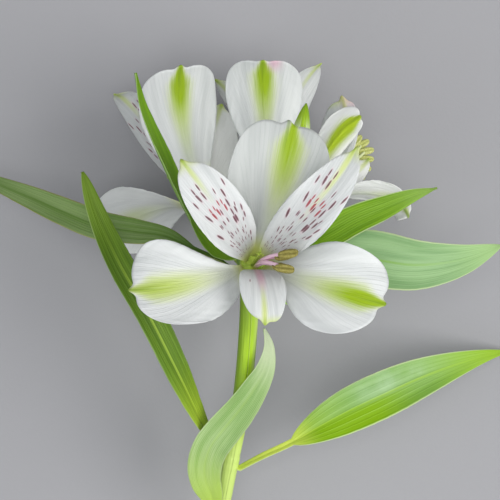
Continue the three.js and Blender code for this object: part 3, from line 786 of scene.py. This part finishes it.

# What a petal's look says: where along it the green starts (reach), the green's shift and width in mm and how
# strong its pale part, core or keel is; its painted light and painted shade over the whole petal, pink,
# middle and dashes are there where it has them.
KIND_LOOKS = {
    "outer": dict(reach=0.42, shift=0.0, width=4.4, pale=0.8, core=0.95, stripe=STRIPE),
    "inner": dict(reach=0.66, shift=0.0, keel=0.75),
}
PETAL_LOOKS = {
    "front_outer_left": dict(core=0.6, pale=0.9, width=4.6),
    "front_outer_right": dict(width=4.8, reach=0.48, core=1.35),
    "front_outer_top": dict(width=5.0, reach=0.46, shift=-1.5, core=1.1, shade=0.36),
    "front_inner_left": dict(keel=0.8, dashes={}),
    "front_inner_right": dict(keel=0.9, dashes={}, reach=0.45, shift=0.6),
    "front_inner_bottom": dict(
        middle=0.6, reach=0.5, keel=0.9, dashes=dict(keep=0.07, size=0.3, red_share=0.0),
    ),
    "left_inner_left": dict(shade=0.2, dashes={}),
    "left_inner_right": dict(dashes=dict(keep=0.03, size=0.2), painted_light=1.0),
    "left_outer_left": dict(painted_light=0.5, core=0.2, pale=0.5),
    "left_outer_top": dict(reach=0.5),
    "back_inner_left": dict(dashes={}),
    "back_inner_right": dict(dashes=dict(keep=0.1)),
    "right_inner_left": dict(keel=0.8, dashes=dict(keep=0.1), pink=(-0.4, 0.8, 0.5)),
    "right_inner_top": dict(dashes=dict(keep=0.1), painted_light=1.0),
    "back_outer_top": dict(pink=(-0.3, 0.3, 0.6)),
    "right_outer_top": dict(width=3.4, reach=0.36, core=1.6, stripe=STRIPE_YELLOW, painted_light=1.0),
    "right_outer_right": dict(reach=0.7, core=0.5, pale=0.5, width=2.4, painted_light=1.0),
    "back_outer_left": dict(core=0.2, pale=0.3, painted_light=0.5),
}
# Leaves and stamens: colours are sRGB, 0 to 255, the places foot_reach and tip_from are shares of a leaf's
# length, relief is in metres, and the rest are strengths, apart from veins, which are counted to each side.
LEAF_LOOK = dict(
    foot=(160, 196, 60), foot_reach=0.35, rib=0.6, veins=6, vein=0.45, fine=0.4,
    tip_from=0.7, margin=0.5, margin_colour=(206, 220, 170), relief=0.00016,
)
LEAF_LOOKS = {
    "leaf_long_left": dict(
        dark=(82, 118, 18), light=(120, 156, 40), foot=(184, 212, 58), foot_reach=0.4,
        rib_colour=(180, 210, 74), rib=0.7, tip=(118, 150, 22), margin=0.25, petiole=(206, 226, 104),
    ),
    "leaf_low_front": dict(
        dark=(138, 178, 98), light=(188, 212, 150), foot=(192, 222, 96), foot_reach=0.45, veins=11,
        vein=0.6, vein_colour=(208, 228, 176), rib=0.2, fine=0.7, tip=(236, 245, 214), relief=0.0001,
    ),
    "leaf_low_right": dict(
        dark=(116, 162, 74), light=(144, 184, 108), foot=(168, 204, 34), foot_reach=0.46,
        tip=(172, 214, 14), tip_from=0.5, margin=0.8, lower=(-0.15, 0.2, (136, 180, 6), 1.0), bloom=0.5,
        veins=4, vein=0.2, fine=0.2, relief=0.00008, petiole=(222, 238, 100),
    ),
    "leaf_whorl_left": dict(
        dark=(114, 148, 70), light=(154, 180, 116), foot=(88, 128, 34), foot_reach=0.3,
        margin_colour=(186, 164, 110),
    ),
    "leaf_whorl_upright": dict(
        dark=(104, 152, 6), light=(130, 178, 16), foot=(120, 160, 30), rib=0.3, margin=0.3,
    ),
    "leaf_whorl_right": dict(
        dark=(126, 166, 110), light=(158, 194, 138), foot=(130, 176, 60), margin=0.7, tip=(176, 212, 140),
        vein=0.2, fine=0.15, relief=0.00006,
    ),
    "leaf_whorl_high_right": dict(
        dark=(112, 158, 10), light=(138, 184, 34), foot=(110, 156, 8), margin=0.7, tip=(170, 210, 100),
    ),
    "leaf_whorl_small": dict(dark=(130, 180, 50), light=(160, 200, 70)),
}
STAMEN_LOOK = dict(
    sac_dark=(104, 96, 40), sac_light=(152, 142, 76), thread=(226, 196, 216), furrow=(84, 80, 30),
)
STAMEN_LOOKS = {
    "front": dict(sac_dark=(124, 116, 52), sac_light=(160, 152, 88), thread=(240, 204, 222)),
    "right": dict(
        sac_dark=(178, 184, 100), sac_light=(216, 218, 152), thread=(214, 222, 170), furrow=(150, 158, 74),
    ),
}


# ---------------- petals' colours


def petal_material(name, tepal, seed):
    """White with faint veins, and a green stripe, maroon dashes or a pink flush where its look has them."""
    look = {**KIND_LOOKS[tepal["kind"]], **PETAL_LOOKS.get(name, {})}
    g = Graph(name)
    s, u, x, face = g.attributes("s", "u", "x", "face")
    warp = g.streaks(s, u, 2.0, 3.0, seed, 1.0)
    fan = g.over(s, g.plus(g.times(u, 0.7), 0.45))
    veins = g.times(g.lines(fan, 11, g.times(warp, 1.3), 0.5), g.span(g.abs(s), 1.0, 0.7))
    broad = g.streaks(s, u, 5.0, 1.4, seed)
    fine = g.streaks(fan, u, 34.0, 3.0, seed)
    g.colour = g.mix(g.span(broad, 0.35, 0.75), WHITE, WHITE_SHADE)
    g.lay(VEIN, veins, 0.2)
    g.lay(VEIN, g.span(fine, 0.5, 0.8), 0.16)
    # Painted light and painted shade over the whole petal, where its look has them.
    if "painted_light" in look:
        g.lay(PAINTED_LIGHT, look["painted_light"])
    if "shade" in look:
        g.lay(SHADE, look["shade"])
    # The throat's yellow-green, with painted light against the shade deep in the flower.
    g.lay(THROAT_GREEN_AND_LIGHT, g.span(u, 0.3, 0.06), 0.9)
    aside = g.abs(g.plus(x, look["shift"]))
    if tepal["kind"] == "outer":
        add_stripe(g, look, u, x, aside, fine, g.minus(1.0, face))
    else:
        add_keel(g, look, u, aside)
    if "pink" in look:
        place, spread, amount = look["pink"]
        near = g.span(g.abs(g.minus(s, place)), spread, 0.0)
        g.lay(PINK, near, g.span(u, 0.82, 0.97), amount)
    if "middle" in look:
        near = g.span(g.abs(x), 1.7, 0.3)
        g.lay(PINK, near, g.span(u, 0.15, 0.3), g.span(u, 0.75, 0.5), look["middle"])
    if "dashes" in look:
        add_dashes(g, fan, u, seed, **{**DASHES, **look["dashes"]})
        if not look["dashes"]:
            add_dashes(g, fan, u, seed + 0.5, **LOW_DASHES)
    grain = g.times(g.noise(g.place(), 2600, 2), 0.25)
    relief = g.plus(g.times(veins, 0.5), g.plus(g.times(fine, 0.5), grain))
    rough = g.span(fine, 0.2, 0.8, 0.42, 0.6)
    glow = g.mix(0.5, g.colour, PETAL_GLOW)
    return g.surface(rough, 0.35, relief, height=0.00011, sheer=0.36, glow=glow)


def add_stripe(g, look, u, x, aside, fine, back):
    """The green stripe of an outer petal: pale along its whole length, deep green towards the tip."""
    reach = look["reach"]
    streak = g.span(fine, 0.25, 0.7, 0.8, 1.15)
    narrowing = g.times(g.span(u, 1.0, 0.82, 0.24, 1.0), g.span(u, reach - 0.1, 0.8, 0.6, 1.0))
    off = g.over(aside, g.times(narrowing, look["width"]))
    off = g.plus(off, g.span(fine, 0.3, 0.75, 0.0, 0.3))
    along = g.plus(g.span(u, reach, 0.88), g.times(back, g.span(u, 0.1, 0.6), 0.4))
    pale = g.times(g.span(off, 1.4, 0.3), g.span(u, reach - 0.2, 0.76, 0.14, 1.0), streak, look["pale"])
    core = g.times(g.span(off, 1.05, 0.2), along, streak, look["core"])
    g.lay(STRIPE_PALE, pale, g.span(u, 0.02, 0.2))
    g.lay(look["stripe"], core)
    g.lay(STRIPE_DARK, g.span(g.abs(x), 0.7, 0.05), g.span(u, 0.74, 0.97), 0.5)


def add_keel(g, look, u, aside):
    """The pale keel of an inner petal and its green point."""
    off = g.over(aside, g.span(u, 0.2, 1.0, 0.6, 1.2))
    keel = g.times(g.span(off, 1.1, 0.1), g.span(u, look["reach"], 0.92), look["keel"])
    point = g.times(g.span(u, 0.9, 0.99), 0.9)
    g.lay(STRIPE_PALE, g.larger(keel, point))
    g.lay(STRIPE, g.span(off, 0.6, 0.1), g.span(u, 0.9, 1.0), 0.8)


# The lattice's cells across and along a petal, where the dashes start and end along it, the share of cells
# that hold one, a dash's size in cells, the bare middle's half width and how far the redder dashes are red.
DASHES = dict(across=4.2, along=18, low=0.5, high=0.88, keep=0.7, size=0.43, middle=0.12, red_share=1.0)
LOW_DASHES = dict(across=3.6, along=18, low=0.2, high=0.64, keep=0.84, size=0.48, middle=0.03, red_share=0.0)


def add_dashes(g, s, u, seed, across, along, low, high, keep, size, middle, red_share):
    """Maroon dashes along the veins, one at most in each cell of a lattice stretched lengthwise.

    s is the fanned place across the petal, which stays the same along a vein.
    """
    place = g.vector(g.times(s, across), g.times(g.math("POWER", u, 0.8), along), float(seed))
    cells = g.node("TexVoronoi", {"Vector": place}, voronoi_dimensions="2D")
    cells.inputs["Scale"].default_value = 1.0
    cells.inputs["Randomness"].default_value = 0.75
    centre = cells.outputs["Position"]
    spot_s = g.over(g.apart(centre)["X"], across)
    spot_u = g.math("POWER", g.over(g.larger(g.apart(centre)["Y"], 0.0), along), 1.25)
    chance, turn, _ = g.node("SeparateColor", {"Color": cells.outputs["Color"]}).outputs
    side = g.abs(spot_s)
    red = g.times(g.span(g.abs(g.minus(spot_u, 0.67)), 0.075, 0.045), g.span(side, 0.5, 0.36), red_share)
    held = g.times(
        g.math("LESS_THAN", chance, g.plus(g.times(red, 0.3), keep)),
        g.math("GREATER_THAN", side, g.span(spot_u, 0.6, 0.74, 0.02, middle)),
        g.math("LESS_THAN", g.times(side, g.plus(g.times(spot_u, 0.7), 0.45)), 0.86),
        g.math("GREATER_THAN", spot_u, low),
        g.math("LESS_THAN", g.plus(spot_u, g.times(side, 0.12)), high),
    )
    off = g.apart(g.node("VectorMath", {0: place, 1: centre}, operation="SUBTRACT").outputs[0])
    skewed = g.plus(off["X"], g.times(off["Y"], g.times(g.minus(turn, 0.5), 0.35)))
    narrow = g.vector(g.times(skewed, g.span(red, 0.0, 1.0, 2.7, 2.2)), off["Y"])
    distance = g.node("VectorMath", {0: narrow}, operation="LENGTH").outputs["Value"]
    dot_size = g.times(size, g.span(turn, 0.0, 1.0, 0.6, 1.2), g.span(spot_u, 0.3, 0.6, 0.7, 1.0))
    edge = g.over(distance, g.times(dot_size, g.plus(g.times(red, 0.15), 1.0)))
    g.lay(HALO, g.span(edge, 1.9, 0.8), held, 0.45)
    g.lay(g.mix(red, DASH, DASH_RED), g.span(edge, 1.15, 0.7), held, 0.92)


# ---------------- other materials


def paper_material():
    g = Graph("floor_paper")
    g.colour = g.mix(g.span(g.noise(g.place(), 6, 2), 0.3, 0.7), *PAPER)
    return g.surface(0.8, 0.2, g.noise(g.place(), 900, 3), height=0.00005)


def leaf_material(name, leaf, seed):
    """Green with lengthwise veins, paler or darker towards its foot, tip, midrib and margin."""
    look = {**LEAF_LOOK, **LEAF_LOOKS[name]}
    tones = {"tip": look["light"], "vein_colour": look["light"], "rib_colour": look["foot"], **look}
    dark, light, foot, tip = (paint(*tones[key]) for key in ("dark", "light", "foot", "tip"))
    vein, rib, margin = (paint(*tones[key + "_colour"]) for key in ("vein", "rib", "margin"))
    g = Graph(name)
    s, u, x, face = g.attributes("s", "u", "x", "face")
    broad = g.streaks(s, u, 3.0, 2.5, seed)
    fine = g.streaks(s, u, 26.0, 3.5, seed, 3.0)
    warp = g.streaks(s, u, 1.2, 2.0, seed + 0.5, 1.0)
    veins = g.lines(s, look["veins"], g.times(warp, 0.5), 0.55)
    g.colour = g.mix(g.span(broad, 0.3, 0.7), dark, light)
    g.lay(dark, g.span(fine, 0.35, 0.7), look["fine"])
    g.lay(vein, veins, look["vein"])
    g.lay(rib, g.span(g.abs(x), 0.55, 0.1), g.span(u, 0.95, 0.5), look["rib"])
    g.lay(foot, g.span(u, look["foot_reach"], 0.04))
    g.lay(tip, g.span(u, look["tip_from"], 1.0), 0.8)
    if "lower" in look:
        low, high, tone, amount = look["lower"]
        half = g.span(g.plus(s, g.times(fine, 0.3)), low + 0.15, high + 0.15)
        g.lay(paint(*tone), half, g.span(u, 0.66, 0.42), amount)
    if "bloom" in look:
        haze = g.times(g.span(g.noise(g.place(), 90, 3), 0.3, 0.8), g.span(s, 0.2, -0.3), look["bloom"])
        g.lay(LEAF_BLOOM, haze, g.span(u, 0.35, 0.5), g.span(u, 0.76, 0.58))
    if "petiole" in look:
        near = g.span(u, leaf["stalk"] * 1.5, leaf["stalk"] * 0.8)
        g.lay(paint(*look["petiole"]), near)
    g.lay(LEAF_BACK, g.minus(1.0, face), 0.35)
    g.lay(margin, g.span(g.abs(s), 0.93, 0.99), look["margin"])
    grain = g.times(g.noise(g.place(), 1900, 2), 0.3)
    relief = g.plus(g.times(veins, 0.8), g.plus(g.times(fine, 0.5), grain))
    rough = g.span(fine, 0.2, 0.8, 0.4, 0.56)
    glow = g.mix(0.35, g.colour, LEAF_GLOW)
    return g.surface(rough, 0.4, relief, height=look["relief"], sheer=0.25, glow=glow)


def stem_material(name, dark, light, low=None, grain=1.0):
    """Green skin with fine lengthwise lines; low is the colour lower down and the painted light of its lit
    side.
    """
    g = Graph(name)
    u, a = g.attributes("u", "a")
    around = g.vector(g.math("COSINE", a), g.sine(a), g.times(u, 2.0 * grain))
    fine = g.noise(g.node("Mapping", {"Vector": around, "Scale": (9, 9, 3)}).outputs[0], 1.0, 3.0)
    broad = g.noise(around, 1.5, 2.0)
    lines = g.abs(g.sine(g.plus(g.times(a, 9.0), g.times(broad, 2.0))))
    g.colour = g.mix(g.span(broad, 0.3, 0.7), paint(*dark), paint(*light))
    g.lay(paint(*dark), g.span(fine, 0.4, 0.75), 0.2)
    g.lay(paint(*light), g.span(lines, 0.6, 1.0), 0.1)
    if low:
        # Painted light on the stem's lit right side above its paler lower part, and painted shade on its left
        # side and towards its top under the flowers.
        right = g.sine(a)
        pale_low_and_painted_light = g.larger(g.times(g.span(right, 0.15, 0.8), 0.8), g.span(u, LEAFY + 0.1, LEAFY))
        shadow = g.times(g.span(right, 0.5, -0.6), g.span(u, 0.84, 0.93))
        shadow = g.larger(shadow, g.span(right, -0.45, -0.95))
        g.lay(STEM_SHADOW, shadow, g.span(u, LEAFY, LEAFY + 0.1), 0.7)
        g.lay(paint(*low), pale_low_and_painted_light)
    pores = g.times(g.noise(g.place(), 2200, 2), 0.4)
    relief = g.plus(g.times(lines, 0.5), g.plus(fine, pores))
    rough = g.span(fine, 0.2, 0.8, 0.38, 0.52)
    return g.surface(rough, 0.45, relief, height=0.00008, sheer=0.08, glow=paint(*light))


def cut_material():
    g = Graph("stem_cut_face")
    place = g.place()
    bundles = g.node("TexVoronoi", {"Vector": place, "Scale": 1700.0}).outputs["Distance"]
    pith = g.noise(place, 2500, 3)
    g.colour = g.mix(g.span(pith, 0.3, 0.7), *PITH)
    g.lay(BUNDLE, g.span(bundles, 0.32, 0.16), 0.8)
    return g.surface(0.4, 0.5, pith, height=0.0001, sheer=0.1)


def stamen_material(name):
    look = {**STAMEN_LOOK, **STAMEN_LOOKS.get(name, {})}
    dark, light, thread, furrow = (paint(*look[key]) for key in ("sac_dark", "sac_light", "thread", "furrow"))
    g = Graph(name + "_stamen_skin")
    u, a, sac = g.attributes("u", "a", "sac")
    dust = g.noise(g.place(), 2600, 3, 0.7)
    broad = g.noise(g.place(), 500, 2)
    pollen = g.mix(g.span(dust, 0.35, 0.65), dark, light)
    pollen = g.mix(g.times(g.span(broad, 0.45, 0.7), 0.4), pollen, dark)
    between = g.span(g.abs(g.sine(g.minus(a, FURROW_ANGLE))), 0.5, 0.1)
    pollen = g.mix(g.times(between, 0.6), pollen, furrow)
    g.colour = g.mix(sac, g.mix(g.span(u, 0.04, 0.3), THREAD_FOOT, thread), pollen)
    return g.surface(0.7, 0.2, dust, height=0.0001, sheer=0.12)


def bud_material():
    g = Graph("bud_skin")
    u, a = g.attributes("u", "a")
    around = g.vector(g.math("COSINE", a), g.sine(a), g.times(u, 1.4))
    fine = g.noise(g.node("Mapping", {"Vector": around, "Scale": (8, 8, 2)}).outputs[0], 1.0, 3.0)
    lines = g.abs(g.sine(g.plus(g.times(a, 12.0), g.times(fine, 2.0))))
    wave = g.math("COSINE", g.plus(g.times(a, 3.0), 0.6))
    g.colour = g.mix(g.span(fine, 0.3, 0.7), *BUD_WHITE)
    green = g.larger(g.span(wave, 0.05, 0.75), g.span(u, 0.62, 0.9))
    g.lay(BUD_GREEN, green, g.span(u, 0.1, 0.4))
    g.lay(BUD_FOOT, g.span(u, 0.3, 0.0))
    g.lay(BUD_TIP, g.span(u, 0.72, 1.0))
    g.lay(BUD_LINE, g.span(lines, 0.5, 1.0), 0.14)
    return g.surface(0.45, 0.4, g.plus(lines, fine), height=0.00009, sheer=0.15)


# ---------------- pieces


def make_tepal(name, flower, tepal, seed):
    def thick(s, t):
        return (TEPAL_EDGE + TEPAL_BODY * (1 - np.abs(s) ** 4)) * (1 - TIP_THINNING * ramp(t, 0.85, 1))

    sheet = tepal_sheet(flower, tepal, seed)
    mesh = sheet_mesh(name, sheet, TEPAL_COLUMNS, TEPAL_ROWS, thick, tepal["keel"])
    finish_piece(name + "_petal", mesh, [petal_material(name, tepal, seed)], tepal["kind"] + "_tepal", name)


def make_leaf(leaf, seed, stem):
    name = leaf["name"]

    def thick(s, t):
        foot = LEAF_FOOT * ramp(t, 0.14, 0.0) * (1 - s**2)
        return LEAF_EDGE + LEAF_BODY * (1 - np.abs(s) ** 4) + foot

    sheet = leaf_sheet(leaf, stem.points[stem.nearest(leaf["route"][0])], seed)
    mesh = sheet_mesh(name, sheet, LEAF_COLUMNS, LEAF_ROWS, thick, LEAF_KEEL)
    finish_piece(name + "_blade", mesh, [leaf_material(name, leaf, seed)], "leaf", name)


def pistil_parts(flower):
    """A flower's stalk, its ribbed ovary and its style with three lobes; the bud has no style."""
    axis, top, first = flower["axis"], flower["base"], flower["root"]
    bottom = top - axis * OVARY_LENGTH
    stalk = bezier(first * (KNOB_RADIUS - 0.6), first * (KNOB_RADIUS + 5), bottom - axis * 5, bottom)
    ovary_start = Route(stalk).length
    has_style = bool(flower["tepals"])
    tip = top + axis * STYLE_LENGTH
    route = Route(np.vstack([stalk, tip if has_style else top]))
    total = route.length

    def radius(u, angle):
        y = u * total - ovary_start
        share = np.clip(y / OVARY_LENGTH, 0, 1)
        belly = STALK_RADIUS + (OVARY_RADIUS - STALK_RADIUS) * np.sin(np.pi * (0.1 + 0.62 * share))
        swelling = ramp(y, -2.5, 0.6)
        body = STALK_RADIUS + (belly - STALK_RADIUS) * swelling
        # Six ribs with finer ones between them, and the rim round the ovary's top.
        body = body * (1 + (0.09 * np.cos(6 * angle) + 0.02 * np.cos(18 * angle)) * swelling)
        body = body + 0.25 * hump(y - OVARY_LENGTH + 0.3, 0.6)
        flare = 1 + 0.25 * hump(u * total, 1.5)
        # Above the ovary it is the style, which thickens a little towards its lobes.
        under = ramp(y, OVARY_LENGTH + 0.35, OVARY_LENGTH - 0.1)
        thin = 0.3 + 0.12 * ramp(y, OVARY_LENGTH + STYLE_LENGTH - 3, OVARY_LENGTH + STYLE_LENGTH)
        return np.where(under > 0, thin + (body - thin) * under, thin) * flare

    ovary_end = ovary_start + OVARY_LENGTH
    marks = np.concatenate([
        np.linspace(0, ovary_start - 2.5, 24),
        np.linspace(ovary_start - 2.3, ovary_end - 0.15, 30),
        ovary_end + np.array([-0.05, 0.05, 0.15, 0.25, 0.4]),
        np.linspace(ovary_end + 0.8, total, 16) if has_style else [],
    ])
    if not has_style:
        marks = marks[marks < total]
    parts = [tube_part(route, radius, 36, marks / total)]
    aside = square(np.array([0.3, 1.0, 0.2]), axis)
    for k in range(LOBES if has_style else 0):
        out = rotate(aside, axis, k * 2 * math.pi / LOBES)
        lobe = bezier(tip - axis * 0.3, tip + axis * 0.9 + out * 0.2, tip + axis * 1.2 + out * 1.3, count=40)
        parts.append(tube_part(Route(lobe), lambda u, angle: 0.2 * (1 - 0.6 * u), 8, np.linspace(0, 1, 8)))
    return parts


def anther_places(flower):
    """Where each anther is and its heading: as listed, or on a ring round the style."""
    if flower["anthers"]:
        return [(np.array(tip, float), unit(np.array(heading, float))) for tip, heading in flower["anthers"]]
    axis = flower["axis"]
    aside = square(np.array([0.0, 0.0, 1.0]), axis)
    found = []
    for i in range(STAMENS):
        out = rotate(aside, axis, math.pi / 3 * (i + 0.5))
        tip = flower["base"] + axis * (STAMEN_REACH - 3 * (i % 2)) + out * 1.7
        found.append((tip, unit(axis + out * 0.3)))
    return found


def anther_part(tip, heading, seed):
    """An anther: two long sacs side by side with a furrow between them, dusty with pollen."""
    draw = np.random.default_rng(seed)
    rows, sides = 22, 24
    side = square(np.array([0.2, 0.4, 1.0]), heading)
    third = np.cross(heading, side)
    v = np.linspace(0.02, math.pi - 0.02, rows)
    angle = np.arange(sides) * 2 * np.pi / sides
    vv, aa = np.meshgrid(v, angle, indexing="ij")
    furrow = hump(np.sin(aa - FURROW_ANGLE), 0.3)
    width = ANTHER_WIDTH / 2 * np.sin(vv) ** 0.75
    width = width * (1 - 0.24 * furrow * (np.cos(aa - FURROW_ANGLE) > 0) - 0.14 * furrow)
    width = width * (1 + 0.02 * draw.standard_normal(vv.shape))
    x = -np.cos(vv) * ANTHER_LENGTH / 2
    points = tip + x[..., None] * heading
    points = points + (width * np.cos(aa))[..., None] * side + (width * np.sin(aa))[..., None] * third
    ends = [tip - heading * ANTHER_LENGTH / 2, tip + heading * ANTHER_LENGTH / 2]
    points = np.vstack([points.reshape(-1, 3), *ends])
    values = {"u": np.ones(len(points)), "a": np.append(aa.ravel(), [0, 0]), "sac": np.ones(len(points))}
    return points, tube_faces(rows, sides), values


def stamen_parts(flower, seed):
    """A flower's filaments, each from the ovary's rim to its anther, and the anthers."""

    def thread_radius(u, angle):
        return FILAMENT_RADIUS - FILAMENT_TAPER * u

    axis = flower["axis"]
    foot = flower["base"] + axis * 0.5
    parts = []
    for i, (tip, heading) in enumerate(anther_places(flower)):
        out = square(tip - foot, axis)
        start = foot + out * 0.98
        reach = np.linalg.norm(tip - start)
        filament = Route(bezier(start, start + axis * 0.6 * reach, tip))
        points, faces, values = tube_part(filament, thread_radius, 10, np.linspace(0, 1, 30))
        parts.append((points, faces, {**values, "sac": np.zeros(len(points))}))
        parts.append(anther_part(tip, heading, seed + i))
    return parts


def bud_part():
    """The closed bud, with a seam where each two of its outer tepals meet."""
    start = BUD["base"] - BUD["axis"] * 0.2
    route = Route(bezier(start, start + BUD["axis"] * (BUD_LENGTH + GAP + 0.2)))

    def radius(t, angle):
        belly = np.sin(np.pi * np.clip(0.16 + 0.84 * t, 0, 1) ** 0.85) ** 0.66
        seam = 0.05 * np.cos(3 * angle) - 0.05 * hump(np.sin(1.5 * angle + 0.9), 0.16) * ramp(t, 0.05, 0.3)
        return np.maximum(0.22, BUD_RADIUS * belly * (1 + seam))

    return tube_part(route, radius, 72, np.linspace(0, 1, 80))


def knob_part(end):
    """The stem's swollen top, the umbel; end is the stem's heading there."""

    def radius(u, angle):
        ball = KNOB_RADIUS * np.sqrt(np.clip(1 - (2 * u - 1) ** 2, 0, 1))
        return np.maximum(0.05, ball * (1 + 0.05 * np.cos(5 * angle)))

    route = Route(bezier(-end * KNOB_RADIUS * 0.98, end * KNOB_RADIUS * 0.98))
    points, faces, values = tube_part(route, radius, 48, np.linspace(0, 1, 40))
    return points, faces, {**values, "u": np.ones(len(points))}


def make_stem():
    route = Route(through(STEM_ROUTE, 120))
    marks = [leaf["route"][0] for leaf in LEAVES[:LOW_LEAVES]] + [route.at(u) for u in LEAF_SCARS]
    swellings = [float(route.place[route.nearest(p)]) for p in marks]

    def radius(u, angle):
        knob = (KNOB_RADIUS - STEM_RADIUS_TOP) * ramp(u, 0.95, 1)
        r = STEM_RADIUS_CUT + (STEM_RADIUS_TOP - STEM_RADIUS_CUT) * u + knob
        r = r * (1 + 0.012 * np.cos(7 * angle + 2 * u) + 0.01 * np.cos(3 * angle))
        for place in swellings:
            r = r + SCAR_RISE * hump(u - place, 0.006) - SCAR_DIP * hump(u - place - 0.011, 0.004)
        return r

    tube = tube_part(route, radius, 48, np.linspace(0, 1, 420))
    mesh = mesh_of("stem", *join([tube, knob_part(route.heading(1.0))]))
    cut_lower_end(mesh)
    skin = stem_material("stem_skin", *STEM_TONES, STEM_GRAIN)
    finish_piece("stem_skin", mesh, [skin, cut_material()], "stem", "stem")
    return route


def cut_lower_end(mesh):
    """Cuts the stem's lower end at a slant and closes it with a paler face."""
    plane = (np.array(STEM_ROUTE[0]) + UMBEL + [0, CUT_SETBACK, 0]) * MM
    slant = math.radians(CUT_ANGLE)
    normal = (0, math.cos(slant), -math.sin(slant))
    work = bmesh.new()
    work.from_mesh(mesh)
    parts = [*work.verts, *work.edges, *work.faces]
    bmesh.ops.bisect_plane(work, geom=parts, dist=1e-7, plane_co=plane, plane_no=normal, clear_inner=True)
    rim = [e for e in work.edges if e.is_boundary]
    made = bmesh.ops.edgeloop_fill(work, edges=rim, mat_nr=1, use_smooth=False)["faces"]
    bmesh.ops.triangulate(work, faces=made)
    bmesh.ops.recalc_face_normals(work, faces=work.faces)
    work.to_mesh(mesh)
    work.free()


def make_pistil(name, flower, dark, light):
    skin = stem_material(name + "_skin", dark, light)
    finish_piece(name + "_skin", mesh_of(name, *join(pistil_parts(flower))), [skin], "stalk", name)


def make_flower(flower, seed):
    name = flower["name"]
    make_pistil(name + "_pistil", flower, *PISTIL_TONES)
    mesh = mesh_of(name + "_stamens", *join(stamen_parts(flower, seed * 10)))
    finish_piece(name + "_stamen_set", mesh, [stamen_material(name)], "stamens", name + "_stamens")
    for k, (place, tepal) in enumerate(flower["tepals"].items()):
        make_tepal(f"{name}_{place}", flower, tepal, seed * 10 + k)


def make_bud():
    make_pistil("bud_stalk", BUD, *BUD_STALK_TONES)
    finish_piece("bud_skin", mesh_of("bud", *bud_part()), [bud_material()], "bud", "bud")


# ---------------- the whole

make_camera()
make_stage()
stem_route = make_stem()
for number, flower in enumerate(FLOWERS):
    make_flower(flower, number + 1)
make_bud()
for number, leaf in enumerate(LEAVES):
    make_leaf(leaf, LEAF_SEED + number, stem_route)
